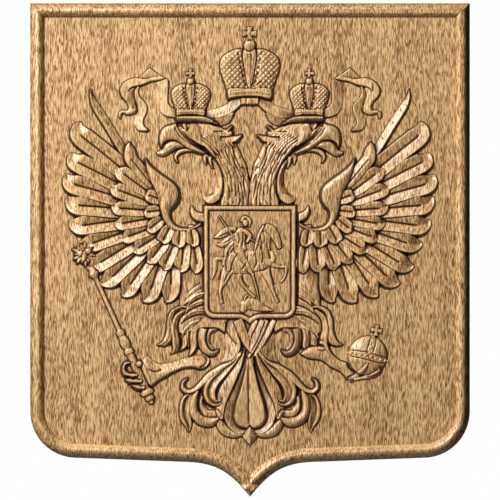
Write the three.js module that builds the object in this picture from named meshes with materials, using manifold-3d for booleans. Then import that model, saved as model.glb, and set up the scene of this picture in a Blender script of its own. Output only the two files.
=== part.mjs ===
// A carved wooden coat of arms: one solid oak shield with a half-round rim, and on its field
// a two-headed eagle in relief. The eagle has three crowns joined by a ribbon, a small
// escutcheon with a mounted rider on its breast, a sceptre in one foot and an orb in the other.
// It is cut from one panel, so it is one solid, with a flat back that goes against the wall.
//
// It is drawn flat, in mm: x across, y up and z out towards the viewer, with z = 0 at the back
// and the origin in the middle. The last lines stand it up, facing -Y, with +Z up.

import * as THREE from "three";
import Module from "manifold-3d";

const wasm = await Module();
wasm.setup();

// The shield.
const SHIELD_WIDTH = 440;
const SHIELD_HEIGHT = 494; // top edge to the point
const FIELD_THICKNESS = 18; // back to the flat field
const RIM_WIDTH = 15;
const RIM_RISE = 6; // crest of the half-round rim over the field
const RIM_SHOULDER = 1; // outer wall over the field, where the half-round starts
const BACK_CHAMFER = 1.5;
const CORNER_RADIUS = 47; // of the two lower corners
const POINT_RUN = 70; // centre line to where the bottom edge turns down to the point
const POINT_DROP = 35; // that turn down to the point
const CORNER_LIFT = 4; // the bottom edge rises this much from that turn to the corners

// The eagle fills the field inside the rim, less these margins.
const SIDE_MARGIN = 17; // wing tip to rim
const TOP_MARGIN = 9.5; // cross on the middle crown to rim
const FOOT_MARGIN = 21; // tip of the tail to rim, on the centre line
const DRAWN_HALF_SPAN = 188;
const DRAWN_TOP = 222.5;
const DRAWN_FOOT = -196;

// How far the carved forms stand over the field.
const WING_LIFTS = [3.2, 5.4, 7.6]; // long feathers, coverts, small coverts
const WING_ARM_LIFT = 10.2;
const BODY_LIFT = 6;
const NECK_LIFT = 9;
const HEAD_LIFT = 10;
const CROWN_LIFT = 9;
const RIBBON_LIFT = 3.6;
const RIBBON_STEP = 0.9; // where one stretch of the ribbon crosses another
const TAIL_LIFT = 4;
const LEG_LIFT = 6.5;
const ESCUTCHEON_LIFT = 9.5;
const RIDER_LIFT = 2.2; // over the escutcheon
const RELIEF_ROOT = 2; // how far each form is let into the field
const VANE_TILT = 0.9; // the edge of a feather that laps the next one, over its quill
const VANE_HOLLOW = 1.3; // both edges of a feather over its quill
const TIP_DROP = 1.6; // tip of a feather below its shoulder
const BLUNT = 0.3; // half width of the finest tips

// The escutcheon on the breast, about the middle of the panel.
const ESCUTCHEON_WIDTH = 91;
const ESCUTCHEON_TOP = 44.5;
const ESCUTCHEON_FOOT = 69;
const ESCUTCHEON_CORNER = 11;
const ESCUTCHEON_POINT = 5;
const FRAME_WIDTH = 4.4;
const FRAME_RISE = 2.4;
const DRAWN_ESCUTCHEON = { width: 91, top: 44.5, foot: 69 };

// Facets.
const FACET_LENGTH = 42; // longest facet along a form
const FACET_BEND = 0.9; // greatest turn from one facet to the next, radians
const RIM_FACETS = 5;
const EDGE_FACETS = 6; // along each bend of the shield's edge

const freeWidth = SHIELD_WIDTH / 2 - RIM_WIDTH - SIDE_MARGIN;
const freeHeight = SHIELD_HEIGHT - 2 * RIM_WIDTH - TOP_MARGIN - FOOT_MARGIN;
const SCALE = Math.min(freeWidth / DRAWN_HALF_SPAN, freeHeight / (DRAWN_TOP - DRAWN_FOOT));
const RAISE = SHIELD_HEIGHT / 2 - RIM_WIDTH - TOP_MARGIN - DRAWN_TOP * SCALE;
const ROUNDED = [-1, -0.45, 0.45, 1];
const FOLDED = [-1, 0, 1];
const FLAT = [-1, 1];

const QUARTER_TURN = 0.56; // handle of a Bezier curve for a quarter of a circle, over its radius
const { lerp } = THREE.MathUtils;

// A solid from its vertices and triangles, turned inside out first where it is mirrored.
function solidOf(vertices, triangles, mirrored = false) {
  const faces = mirrored ? triangles.map(([a, b, c]) => [a, c, b]) : triangles;
  return new wasm.Manifold(
    new wasm.Mesh({
      numProp: 3,
      vertProperties: new Float32Array(vertices.flat()),
      triVerts: new Uint32Array(faces.flat()),
    }),
  );
}

// A point of the drawing at its place on the panel, height over the field.
const placed = (x, y, height, side = 1) => [x * SCALE * side, y * SCALE + RAISE, FIELD_THICKNESS + height];

// The smooth curve through control points [x, y, half width].
function curveThrough(line) {
  const points = line.map(([x, y, half]) => new THREE.Vector3(x, y, half));
  return new THREE.CatmullRomCurve3(points, false, "centripetal");
}

// Where the facets along a curve end, 0 to 1: closer together where it bends or narrows.
function stationsOf(curve) {
  const samples = 48;
  const cost = [0];
  for (let i = 1; i <= samples; i++) {
    const a = (i - 1) / samples;
    const b = i / samples;
    const length = curve.getPoint(a).distanceTo(curve.getPoint(b));
    const turn = curve.getTangent(a).angleTo(curve.getTangent(b));
    cost.push(cost[i - 1] + length / FACET_LENGTH + turn / FACET_BEND);
  }
  const steps = Math.max(1, Math.round(cost[samples]));
  return Array.from({ length: steps + 1 }, (_, k) => {
    const wanted = (cost[samples] * k) / steps;
    const i = Math.max(1, cost.findIndex((value) => value >= wanted - 1e-9));
    return (i - 1 + (wanted - cost[i - 1]) / (cost[i] - cost[i - 1])) / samples;
  });
}

// A form carved along a line. The section gives the height over the field from u, -1 to 1
// across (1 is on the left of the line), and t, 0 to 1 along it. side is 1 as drawn and -1 for
// the same form on the other half. A turned form keeps its control points as hard steps.
function form(line, section, { side = 1, columns = FOLDED, turned = false } = {}) {
  const curve = curveThrough(line);
  const stations = turned ? line.map((_, i) => i / (line.length - 1)) : stationsOf(curve);
  const steps = stations.length - 1;
  const axis = curve.getPoint(1).sub(curve.getPoint(0));
  const top = stations.flatMap((t) => {
    const p = curve.getPoint(t);
    const along = turned ? axis : curve.getTangent(t);
    const reach = Math.max(p.z, BLUNT) / Math.hypot(along.x, along.y);
    return columns.map((u) => [p.x - along.y * reach * u, p.y + along.x * reach * u, section(u, t)]);
  });
  const vertices = [
    ...top.map(([x, y, height]) => placed(x, y, height, side)),
    ...top.map(([x, y]) => placed(x, y, -RELIEF_ROOT, side)),
  ];
  const across = columns.length;
  const under = top.length;
  const triangles = [];
  const quad = (a, b, c, d) => triangles.push([a, b, c], [a, c, d]);
  for (let i = 0; i < steps; i++) {
    const left = i * across;
    const right = left + across - 1;
    for (let a = left; a < right; a++) {
      quad(a, a + across, a + across + 1, a + 1);
      quad(under + a, under + a + 1, under + a + across + 1, under + a + across);
    }
    quad(left, under + left, under + left + across, left + across);
    quad(right, right + across, under + right + across, under + right);
  }
  const last = steps * across;
  for (let a = 0; a + 1 < across; a++) {
    quad(a, a + 1, under + a + 1, under + a);
    quad(last + a, under + last + a, under + last + a + 1, last + a + 1);
  }
  return solidOf(vertices, triangles, side < 0);
}

// Sections: raised in the middle, dished, and flat but tilted to one side.
const crowned = (lift, rise) => (u) => lift - rise * (1 - Math.sqrt(Math.max(0, 1 - u * u)));
const dished = (lift, depth) => (u) => lift - depth * (1 - Math.abs(u));
const tilted = (lift, tilt) => (u) => lift + tilt * u;

// A solid of rings, each a list of points as many as the first, capped at both ends.
function stacked(rings, mirrored) {
  const n = rings[0].length;
  const triangles = [];
  for (let k = 0; k + 1 < rings.length; k++)
    for (let i = 0; i < n; i++) {
      const a = k * n + i;
      const b = k * n + ((i + 1) % n);
      triangles.push([a, b, b + n], [a, b + n, a + n]);
    }
  const cap = (k) => {
    const flat = rings[k].map(([x, y]) => new THREE.Vector2(mirrored ? -x : x, y));
    return THREE.ShapeUtils.triangulateShape(flat, []).map((face) => face.map((i) => i + k * n));
  };
  triangles.push(...cap(rings.length - 1), ...cap(0).map(([a, b, c]) => [a, c, b]));
  return solidOf(rings.flat(), triangles, mirrored);
}

// A dome about [x, y], from rings of [radius, height over the field], the widest first. Every
// second corner is drawn in by the notch, which makes a star.
function dome([x, y], rings, { side = 1, corners = 10, notch = 0 } = {}) {
  const ringAt = (radius, height) =>
    Array.from({ length: corners }, (_, i) => {
      const a = (2 * Math.PI * i) / corners;
      const r = i % 2 ? radius * (1 - notch) : radius;
      return placed(x + r * Math.cos(a), y + r * Math.sin(a), height, side);
    });
  const [widest] = rings[0];
  return stacked([ringAt(widest, -RELIEF_ROOT), ...rings.map(([r, h]) => ringAt(r, h))], side < 0);
}

const knob = (centre, radius, lift, options) =>
  dome(centre, [[radius, lift - radius * 0.5], [radius * 0.62, lift]], options);

// A plate with the given outline, moved in and raised ring by ring as [distance in, height].
function plate(outline, steps) {
  const n = outline.length;
  const movedIn = (distance) =>
    outline.map(([x, y], i) => {
      const [px, py] = outline[(i + n - 1) % n];
      const [qx, qy] = outline[(i + 1) % n];
      const before = new THREE.Vector2(py - y, x - px).normalize();
      const after = new THREE.Vector2(y - qy, qx - x).normalize();
      const inward = before.clone().add(after).normalize();
      const mitre = distance / Math.max(0.3, inward.dot(before));
      return [x + inward.x * mitre, y + inward.y * mitre];
    });
  return stacked(steps.map(([distance, height]) => movedIn(distance).map(([x, y]) => [x, y, height])));
}

// The outline drawn by a shape from the foot of the centre line up the right side, completed
// by its mirror image.
function symmetric(shape, facets) {
  const right = shape.extractPoints(facets).shape.map(({ x, y }) => [x, y]);
  const left = right.slice(1).reverse().map(([x, y]) => [-x, y]);
  return [...right, ...left];
}

// The shield: straight top and sides, round lower corners, and a bottom edge that turns down
// to a point. The half-round rim is mitred at the two top corners.
function shield() {
  const half = SHIELD_WIDTH / 2;
  const top = SHIELD_HEIGHT / 2;
  const foot = -top + POINT_DROP;
  const bulge = CORNER_RADIUS * QUARTER_TURN;
  const shape = new THREE.Shape();
  shape.moveTo(0, -top);
  shape.bezierCurveTo(POINT_RUN * 0.3, foot - POINT_DROP * 0.25, POINT_RUN * 0.5, foot, POINT_RUN, foot);
  shape.lineTo(half - CORNER_RADIUS, foot + CORNER_LIFT);
  const [inner, turned] = [half - CORNER_RADIUS, foot + CORNER_LIFT + CORNER_RADIUS];
  shape.bezierCurveTo(inner + bulge, foot + CORNER_LIFT, half, turned - bulge, half, turned);
  shape.lineTo(half, top);
  const rim = Array.from({ length: RIM_FACETS + 1 }, (_, i) => {
    const a = (Math.PI * i) / RIM_FACETS;
    const base = RIM_SHOULDER * (1 - i / RIM_FACETS);
    const height = base + (RIM_RISE - base) * Math.sin(a);
    return [(RIM_WIDTH / 2) * (1 - Math.cos(a)), FIELD_THICKNESS + height];
  });
  return plate(symmetric(shape, EDGE_FACETS), [[BACK_CHAMFER, 0], [0, BACK_CHAMFER], ...rim]);
}

// The wings. A row of feathers has its tips listed from the leading edge down as [x, y, half
// width], and its roots spread evenly along a bend. Each feather swells to its shoulder and
// dips to the quill between its two vanes.
const WING = [
  {
    roots: [[-103, 66], [-112, 42], [-101, 12], [-79, -4]],
    tips: [
      [-159, 161, 9.6], [-178, 122, 10.6], [-183, 92, 9.8], [-188, 69, 9.6], [-187, 45, 9.6], [-183, 23, 9.4],
      [-175, 1, 9.2], [-163, -22, 9], [-149, -38, 9], [-125, -50, 9], [-103, -54, 9.4], [-79, -54, 9],
    ],
  },
  {
    roots: [[-97, 64], [-99, 40], [-85, 14], [-57, 8]],
    tips: [
      [-124, 108, 8.6], [-137, 78, 8], [-141, 60, 7.6], [-140, 42, 7.2], [-137, 25, 7], [-128, 9, 6.8],
      [-115, -5, 7], [-101, -14, 7], [-84, -22, 6.8], [-68, -23.5, 7.4], [-53, -25, 6.4],
    ],
  },
  {
    roots: [[-88, 50], [-90, 34], [-76, 22], [-59, 20]],
    tips: [
      [-107, 53, 6.4], [-108, 37, 6], [-104, 18.5, 6], [-87, 4.5, 6.8], [-71, 0.5, 6.6], [-57, 1.5, 6.4],
    ],
  },
];
const WING_ARM = [
  [-104, 91, 0.3], [-94, 75, 7.5], [-84, 62, 11], [-81, 50, 9.6],
  [-84, 38, 5.2], [-79, 24, 4.8], [-66, 17, 4.4], [-47, 20, 4.6],
];

function feather([rootX, rootY], [tipX, tipY, half], lift, side) {
  const at = (t, share) => [lerp(rootX, tipX, t), lerp(rootY, tipY, t), half * share];
  const section = (u, t) => {
    const past = Math.max(0, t - 0.75) / 0.25;
    return lift + VANE_TILT * u + VANE_HOLLOW * (Math.abs(u) - 0.5) - TIP_DROP * past;
  };
  return form([at(0, 0.75), at(0.55, 1), at(0.86, 0.86), at(1, 0.1)], section, { side });
}

function wing(side) {
  const feathers = WING.flatMap(({ roots, tips }, row) => {
    const bend = curveThrough(roots.map(([x, y]) => [x, y, 0]));
    return tips.map((tip, i) => {
      const { x, y } = bend.getPoint(i / (tips.length - 1));
      return feather([x, y], tip, WING_LIFTS[row], side);
    });
  });
  return [...feathers, form(WING_ARM, crowned(WING_ARM_LIFT, 3), { side, columns: ROUNDED })];
}

// The body round the escutcheon, and one of the two necks and heads that rise from it.
const FLANK = [[-58, 18, 9], [-57, -30, 11], [-56, -66, 13]];
const BREAST_TUFT = [[-46, 31, 4], [-54, 34, 4.4], [-57, 45, 0.3]];
const NECK = [[-42, 112, 11], [-29, 102, 14.5], [-18, 86, 14], [-14.5, 66, 12.6], [-14, 34, 14]];
const SKULL = [[-74, 120, 3], [-62, 117.5, 9], [-44, 113, 13], [-26, 113, 9], [-9.5, 113, 0.6]];
const BEAK = [[-38, 95, 1], [-58, 103.5, 4.6], [-72, 114, 8.4], [-82, 114, 6], [-88.3, 102.5, 0.3]];
const TONGUE = [[-62, 101.5, 1], [-74, 103, 3.4], [-83, 98, 4], [-93, 97.5, 0.3]];
const LOWER_BEAK = [[-54, 97.5, 1], [-66, 99.6, 2.2], [-73, 96.6, 2.6], [-72.6, 87.8, 0.3]];
const THROAT_LOCK = [
  [-42, 93, 2.4], [-33, 82, 3.8], [-29.5, 66, 4.2], [-34.5, 53, 5], [-42.5, 50.6, 3], [-47.5, 55, 0.3],
];
const NAPE_LOCK = [[-18, 106, 4], [-10, 90, 3.6], [-3.4, 82.6, 0.3]];

function body(side) {
  const full = (line, lift) => form(line, crowned(lift, 3), { side, columns: ROUNDED });
  const slight = (line, lift) => form(line, crowned(lift, 1.6), { side });
  return [
    full(FLANK, BODY_LIFT),
    full(NECK, NECK_LIFT),
    full(SKULL, HEAD_LIFT),
    slight(BEAK, HEAD_LIFT - 1.4),
    slight(TONGUE, HEAD_LIFT - 4.6),
    slight(LOWER_BEAK, HEAD_LIFT - 5),
    slight(THROAT_LOCK, NECK_LIFT - 2.6),
    slight(NAPE_LOCK, NECK_LIFT - 2.4),
    slight(BREAST_TUFT, BODY_LIFT + 1),
  ];
}

// A crown: two swelling lobes with a gore between them, a band at the foot, and an orb and
// cross on top. Its measures are shares of the half width of its lobes.
const CROWN_LOBE = [
  [0.36, 0.08, 0.36], [0.46, 0.42, 0.41], [0.58, 0.8, 0.43],
  [0.62, 1.08, 0.39], [0.55, 1.34, 0.25], [0.36, 1.56, 0.03],
];
const CROWN_GORE = [[0, 0.2, 0.03], [0, 0.9, 0.17], [0, 1.54, 0.27]];
const CROWN_BAND = [[-0.72, 0, 0.16], [0, 0.1, 0.15], [0.72, 0, 0.16]];
const CROWN_ORB = { rise: 1.62, radius: 0.21 };
const CROWN_CROSS = { rise: 2.04, arm: 0.25, waist: 0.05, flare: 0.12 };

function crown([x, foot], half, side) {
  const shares = (line, hand = 1) =>
    line.map(([dx, dy, w]) => [x + dx * hand * half, foot + dy * half, w * half]);
  const { rise, arm, waist, flare } = CROWN_CROSS;
  const bars = [[arm, 0], [0, arm]].map(([dx, dy]) =>
    form(
      shares([[-dx, rise - dy, flare], [0, rise, waist], [dx, rise + dy, flare]]),
      () => CROWN_LIFT - 3,
      { side, columns: FLAT, turned: true },
    ),
  );
  return [
    ...bars,
    form(shares(CROWN_LOBE), crowned(CROWN_LIFT, 4), { side, columns: ROUNDED }),
    form(shares(CROWN_LOBE, -1).reverse(), crowned(CROWN_LIFT, 4), { side, columns: ROUNDED }),
    form(shares(CROWN_GORE), crowned(CROWN_LIFT - 0.6, 1), { side, columns: FLAT }),
    form(shares(CROWN_BAND), crowned(CROWN_LIFT + 0.6, 1.6), { side }),
    knob([x, foot + CROWN_ORB.rise * half], CROWN_ORB.radius * half, CROWN_LIFT - 1, { side }),
  ];
}

// The ribbon that joins the crowns, folded over at each side, with two waving tails.
const RIBBON = [
  [[-3, 149.5, 3.6], [-14, 146, 4.8], [-26, 139.8, 5.4], [-38, 136.6, 4.4], [-52, 136, 3.4]],
  [[-72, 130.4, 2], [-52, 130, 2.4], [-36, 128, 3.6], [-24, 128.8, 3.4], [-16.5, 136.5, 0.3]],
  [[-70, 137, 4.4], [-80, 138.6, 5], [-87, 145.5, 5.4], [-88.2, 158, 5.5], [-88.5, 172, 4.6]],
  [[-83, 171.3, 0.8], [-97, 170.4, 2.2], [-114, 167.6, 3.4], [-124.5, 162.6, 3.9], [-123.8, 149.5, 0.3]],
  [[-117, 163, 5.6], [-117, 150, 5.2], [-118.5, 140, 2.8], [-127, 138.4, 1.8], [-130.4, 131.5, 0.3]],
  [[-113.5, 160, 3], [-107.4, 145, 4.2], [-108.2, 134, 4.4], [-110.6, 127, 5], [-108.5, 120.5, 4]],
  [[-107.5, 172, 0.5], [-100, 174, 6.4], [-91, 172, 3.2], [-82, 170.6, 0.6]],
];
const RIBBON_KNOT = [[-8, 149.3, 3.8], [8, 149.3, 3.8]];

function ribbon(side) {
  return RIBBON.map((line, i) => {
    const lift = RIBBON_LIFT + (i % 2) * RIBBON_STEP;
    return form(line, tilted(lift, 0.7), { side, columns: FLAT });
  });
}

// The tail: leaves and scrolls that spring from below the escutcheon, the lowest ones first.
const TAIL = [
  [[-58, -144, 1.4], [-65.5, -153, 4.4], [-65.5, -165, 4.6], [-60.5, -181, 0.3]],
  [[-48, -142, 1.8], [-55, -154, 5], [-53, -167, 5.6], [-43, -172, 4.8], [-29, -168, 0.6]],
  [[-34, -168, 2], [-29.6, -179, 3.8], [-17, -184, 3.6], [-2, -179, 0.5]],
  [[-7, -104, 1.6], [-17, -126, 4.8], [-28, -148, 6.6], [-32, -168, 3]],
  [[-48, -150, 1.2], [-44.5, -160.6, 3.8], [-29.5, -165, 1.6]],
  [[-3, -98, 2], [-8, -124, 4.6], [-14, -152, 11.5], [-13.5, -168, 11.4], [-1, -179, 2]],
  [[-11, -106, 1], [-26, -121.5, 4.6], [-40, -138, 6], [-37.6, -151, 3.6], [-27.5, -148, 0.5]],
  [[-9, -102, 1], [-28, -118, 2.4], [-49, -133, 3.4], [-60, -141, 2.8], [-67, -134.5, 2], [-61, -129, 0.6]],
  [[-48, -76, 3], [-49, -90, 4.4], [-42, -102.4, 3.6], [-30.5, -100.6, 0.4]],
  [[-19, -72, 3.6], [-13.6, -92, 3.6], [-15.6, -106, 4.2], [-30, -112, 0.3]],
];
const TAIL_STEM = [[0, -66, 15], [0, -84, 11], [0, -106, 1.6]];
const TAIL_TIP = [[0, -176, 0.5], [0, -186, 7], [0, -196, 0.3]];

function tail(side) {
  return TAIL.map((line, i) => form(line, dished(TAIL_LIFT + i * 0.4, 1.5), { side }));
}

// The thigh and the plumes that hang from it.
const THIGH = [[-46, -56, 10], [-60, -68, 13], [-66, -84, 6]];
const PLUMES = [
  [[-60, -60, 2], [-73, -59, 2.4], [-80.4, -68, 2.4], [-78.8, -87, 3.2], [-92, -95.3, 0.3]],
  [[-66, -64, 3.4], [-73, -76, 3.8], [-71, -96, 4], [-77.5, -104, 0.4]],
  [[-62, -78, 3.6], [-63.5, -97, 1.4]],
  [[-56, -76, 3.8], [-57, -96, 3.8], [-61, -106.5, 0.3]],
];

function thigh(side) {
  const plumes = PLUMES.map((line, i) => form(line, crowned(BODY_LIFT - 1.6 + 0.6 * i, 1.4), { side }));
  return [form(THIGH, crowned(BODY_LIFT, 2.6), { side, columns: ROUNDED }), ...plumes];
}

// The leg on the viewer's left, and the sceptre in its foot. The turning of the sceptre is
// [distance from its end knob, half width], and a star of leaves stands on its tip.
const LEFT_LEG = [
  [-42, -112, 4.6], [-60, -112, 5.4], [-76, -114.6, 4.2], [-90, -119.6, 8], [-102, -120.6, 13.6],
];
const LEFT_TOES = [
  [[-121, -112.4, 2], [-126, -120, 2.3], [-112, -126, 2.6]],
  [[-122, -131, 2.4], [-107, -131.6, 2.6]],
  [[-115, -137, 2.2], [-104, -137, 2.4]],
];
const LEFT_THUMB = { centre: [-110, -113.6], radius: 4 };
const SCEPTRE = { foot: [-98, -153], head: [-159, -18] };
const SCEPTRE_TURNING = [
  [0, 2], [4, 4.6], [8, 5.4], [12, 3.4], [14, 2.4], [64, 2.6], [66, 4.8], [71, 4.4], [78, 5.4], [86, 3.6],
  [88, 4.8], [92, 4.8], [136, 4.6], [139, 5.6], [143, 3.4], [148, 1],
];
const FINIAL = { centre: [-165.5, -3], radius: 12.5, corners: 14, notch: 0.42 };

function sceptre() {
  const [fromX, fromY] = SCEPTRE.head;
  const [toX, toY] = SCEPTRE.foot;
  const [length] = SCEPTRE_TURNING.at(-1);
  const line = SCEPTRE_TURNING.map(([along, half]) => {
    const t = along / length;
    return [lerp(fromX, toX, t), lerp(fromY, toY, t), half];
  });
  const { centre, radius, corners, notch } = FINIAL;
  return [
    form(line, crowned(LEG_LIFT - 1.6, 2), { turned: true }),
    dome(centre, [[radius, LEG_LIFT - 2.4], [radius * 0.5, LEG_LIFT - 0.6]], { corners, notch }),
  ];
}

function leftLeg() {
  return [
    form(LEFT_LEG, crowned(LEG_LIFT, 2.4), { columns: ROUNDED }),
    knob(LEFT_THUMB.centre, LEFT_THUMB.radius, LEG_LIFT + 1.2),
    ...LEFT_TOES.map((line) => form(line, crowned(LEG_LIFT + 1.2, 1.8))),
  ];
}

// The leg on the viewer's right, whose foot holds the orb from below. The orb has a band, a
// strap over the top and a small cross.
const RIGHT_LEG = [[60, -102, 7], [72, -102.6, 8.4], [88, -113.6, 8.2], [108, -127, 4]];
const RIGHT_TOES = [
  [[101, -129, 2.4], [111, -122, 3], [118.2, -112.6, 0.3]],
  [[108, -128.4, 1.6], [121, -127, 2.6], [131, -122.4, 1.8], [128.4, -117.6, 0.3]],
];
const ORB = { centre: [118.3, -106], radius: 21, rise: 7 };
const ORB_BAND = [[97.8, -102.5, 3.2], [118, -105.4, 3.8], [137.6, -113.6, 2.6]];
const ORB_STRAP = [[125, -86.5, 3], [119.6, -104, 3.6]];
const ORB_CROSS = { centre: [126.6, -80.6], arm: 6, waist: 1, flare: 3, turn: -0.18 };
const BAND_RISE = 0.9;
const TOE_RISE = 2;

function rightLeg() {
  const [x, y] = ORB.centre;
  const globe = (px, py) => {
    const off = Math.min(1, Math.hypot(px - x, py - y) / ORB.radius);
    return LEG_LIFT - 3 + ORB.rise * Math.sqrt(1 - off * off);
  };
  const onGlobe = (line, rise) => {
    const curve = curveThrough(line);
    const section = (u, t) => {
      const p = curve.getPoint(t);
      return globe(p.x, p.y) + rise;
    };
    return form(line, section, { columns: FLAT });
  };
  const rings = [1, 0.86, 0.5].map((share) => [ORB.radius * share, globe(x + ORB.radius * share, y)]);
  const { centre, arm, waist, flare, turn } = ORB_CROSS;
  const bars = [turn, turn + Math.PI / 2].map((a) => {
    const [dx, dy] = [arm * Math.cos(a), arm * Math.sin(a)];
    const [cx, cy] = centre;
    const line = [[cx - dx, cy - dy, flare], [cx, cy, waist], [cx + dx, cy + dy, flare]];
    return form(line, () => LEG_LIFT - 2.5, { columns: FLAT, turned: true });
  });
  return [
    form(RIGHT_LEG, crowned(LEG_LIFT, 2.4), { columns: ROUNDED }),
    dome(ORB.centre, rings, { corners: 14 }),
    onGlobe(ORB_BAND, BAND_RISE),
    onGlobe(ORB_STRAP, BAND_RISE),
    ...bars,
    ...RIGHT_TOES.map((line) => onGlobe(line, TOE_RISE)),
  ];
}

// The escutcheon: a small shield with a raised frame, standing well out from the breast.
function escutcheon() {
  const half = (ESCUTCHEON_WIDTH / 2) * SCALE;
  const corner = ESCUTCHEON_CORNER * SCALE;
  const top = ESCUTCHEON_TOP * SCALE + RAISE;
  const foot = -ESCUTCHEON_FOOT * SCALE + RAISE;
  const shape = new THREE.Shape();
  shape.moveTo(0, foot - ESCUTCHEON_POINT);
  shape.lineTo(corner, foot);
  shape.lineTo(half - corner, foot);
  shape.absarc(half - corner, foot + corner, corner, -Math.PI / 2, 0);
  shape.lineTo(half, top);
  const ground = FIELD_THICKNESS + ESCUTCHEON_LIFT;
  return plate(symmetric(shape, 3), [
    [0, FIELD_THICKNESS - RELIEF_ROOT],
    [0, ground + FRAME_RISE * 0.4],
    [FRAME_WIDTH / 2, ground + FRAME_RISE],
    [FRAME_WIDTH, ground],
  ]);
}

// The rider on a walking horse, with a cloak, a lance, and a beast below. The drawing of them
// fills the escutcheon.
const HORSE = [
  [[-27, -13, 6], [-10, -12, 10], [8, -10, 9], [22, -13, 6]],
  [[14, -6, 9], [15, 12, 6], [22, 26, 3]],
  [[19, 23, 4.4], [26, 13, 4.2], [31, 1, 1.6]],
  [[-23, -16, 6.5], [-27, -34, 3], [-29, -53, 1.8]],
  [[-14, -20, 5], [-8, -33, 2.6], [5, -47, 1.8]],
  [[22, -15, 4], [36, -18.5, 2], [32, -32, 1.8]],
  [[17, -18, 5.4], [20, -36, 2.4], [29, -53, 1.8]],
  [[-27, -10, 2.6], [-35, -12, 2.8], [-38, -30, 0.4]],
];
const MAN = [
  [[-10, 0, 6], [-9, 22, 4.8]],
  [[-8, 2, 3.6], [-3, -11, 2.6], [0, -22, 1.6]],
  [[-13, 20, 2.4], [-24, 17, 5.4], [-37, 14, 2.4]],
  [[-12, 11, 3], [-24, 6, 4], [-34, 8, 0.8]],
  [[-5, 19, 2.4], [8, 5, 1.8]],
];
const BEAST = [[-8, -50, 1], [-2, -57, 5.4], [16, -56, 4.4], [30, -60, 0.5]];
const MAN_HEAD = { centre: [-4, 28.5], radius: 5 };

function rider() {
  const widen = ESCUTCHEON_WIDTH / DRAWN_ESCUTCHEON.width;
  const heighten = (ESCUTCHEON_TOP + ESCUTCHEON_FOOT) / (DRAWN_ESCUTCHEON.top + DRAWN_ESCUTCHEON.foot);
  const size = Math.min(widen, heighten);
  const drop = ESCUTCHEON_TOP - DRAWN_ESCUTCHEON.top * size;
  const fitted = (line) => line.map(([x, y, half]) => [x * size, y * size + drop, half * size]);
  const figure = (line, lift) => form(fitted(line), crowned(ESCUTCHEON_LIFT + lift, 1.2));
  const [[x, y, radius]] = fitted([[...MAN_HEAD.centre, MAN_HEAD.radius]]);
  return [
    ...[...HORSE, BEAST].map((line) => figure(line, RIDER_LIFT)),
    ...MAN.map((line) => figure(line, RIDER_LIFT + 0.7)),
    knob([x, y], radius, ESCUTCHEON_LIFT + RIDER_LIFT + 0.7, { corners: 8 }),
  ];
}

const SMALL_CROWN = { foot: [-59.5, 137], half: 19.5 };
const MIDDLE_CROWN = { foot: [0, 155], half: 29.8 };

const halves = [1, -1].flatMap((side) => [
  ...wing(side),
  ...body(side),
  ...ribbon(side),
  ...tail(side),
  ...thigh(side),
  ...crown(SMALL_CROWN.foot, SMALL_CROWN.half, side),
]);
const middle = [
  form(RIBBON_KNOT, () => RIBBON_LIFT + 1.4, { columns: FLAT }),
  form(TAIL_STEM, crowned(TAIL_LIFT + 2, 3), { columns: ROUNDED }),
  form(TAIL_TIP, crowned(TAIL_LIFT + 1, 3)),
  ...crown(MIDDLE_CROWN.foot, MIDDLE_CROWN.half, 1),
];
const held = [...sceptre(), ...leftLeg(), ...rightLeg()];
const breast = [escutcheon(), ...rider()];

const carving = [shield(), ...halves, ...middle, ...held, ...breast]
  .reduce((whole, part) => whole.add(part))
  .getMesh();
const geometry = new THREE.BufferGeometry();
geometry.setAttribute("position", new THREE.BufferAttribute(new Float32Array(carving.vertProperties), 3));
geometry.setIndex(new THREE.BufferAttribute(new Uint32Array(carving.triVerts), 1));

const oak = new THREE.MeshStandardMaterial({ color: 0x9a6c3e, roughness: 0.5, metalness: 0 });
const panel = new THREE.Mesh(geometry, oak);
panel.name = "carved_shield";
panel.rotation.x = Math.PI / 2;

const coatOfArms = new THREE.Group();
coatOfArms.add(panel);
export default coatOfArms;
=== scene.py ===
import bpy
import math
import numpy as np
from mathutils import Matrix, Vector


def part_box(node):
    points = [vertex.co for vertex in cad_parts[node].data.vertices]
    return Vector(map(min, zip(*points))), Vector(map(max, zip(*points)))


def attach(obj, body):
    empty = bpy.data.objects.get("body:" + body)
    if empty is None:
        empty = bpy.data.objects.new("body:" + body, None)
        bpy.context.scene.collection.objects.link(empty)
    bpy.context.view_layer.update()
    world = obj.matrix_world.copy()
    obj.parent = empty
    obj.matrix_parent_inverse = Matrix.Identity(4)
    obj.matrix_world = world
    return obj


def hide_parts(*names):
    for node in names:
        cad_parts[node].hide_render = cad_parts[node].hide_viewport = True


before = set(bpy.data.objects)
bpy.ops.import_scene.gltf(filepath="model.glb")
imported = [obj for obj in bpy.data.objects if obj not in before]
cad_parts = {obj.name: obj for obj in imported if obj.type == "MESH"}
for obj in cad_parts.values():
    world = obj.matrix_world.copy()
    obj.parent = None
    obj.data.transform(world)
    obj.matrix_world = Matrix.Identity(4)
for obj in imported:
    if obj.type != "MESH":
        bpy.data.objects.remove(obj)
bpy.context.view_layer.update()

# The board: one oak shield, flat at the back, with a half-round rim worked on its edge. The
# edge is straight at the top and sides, round at the lower corners, and turns down to a point.
# It is drawn flat in mm, x across and y up, and stood up facing -Y when it becomes a mesh.
low, high = (np.array(corner) * 1000 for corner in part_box("carved_shield"))
HALF_WIDTH = high[0]
TOP = high[2]
FOOT = low[2]
DEPTH = high[1] - low[1]
FIELD = 18.0
RIM_WIDTH = 15.0
RIM_RISE = 6.0
RIM_SHOULDER = -3.0
RIM_CREST = 8.2
RIM_STEPS = 9
RIM_ROUND = 1.7
QUIRK = 0.5
BACK_CHAMFER = 1.5
CORNER_RADIUS = 47.0
CORNER_LIFT = 4.0
POINT_RUN = 70.0
POINT_DROP = 35.0
OUTLINE_STEPS = 28
QUARTER_TURN = 0.56
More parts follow.
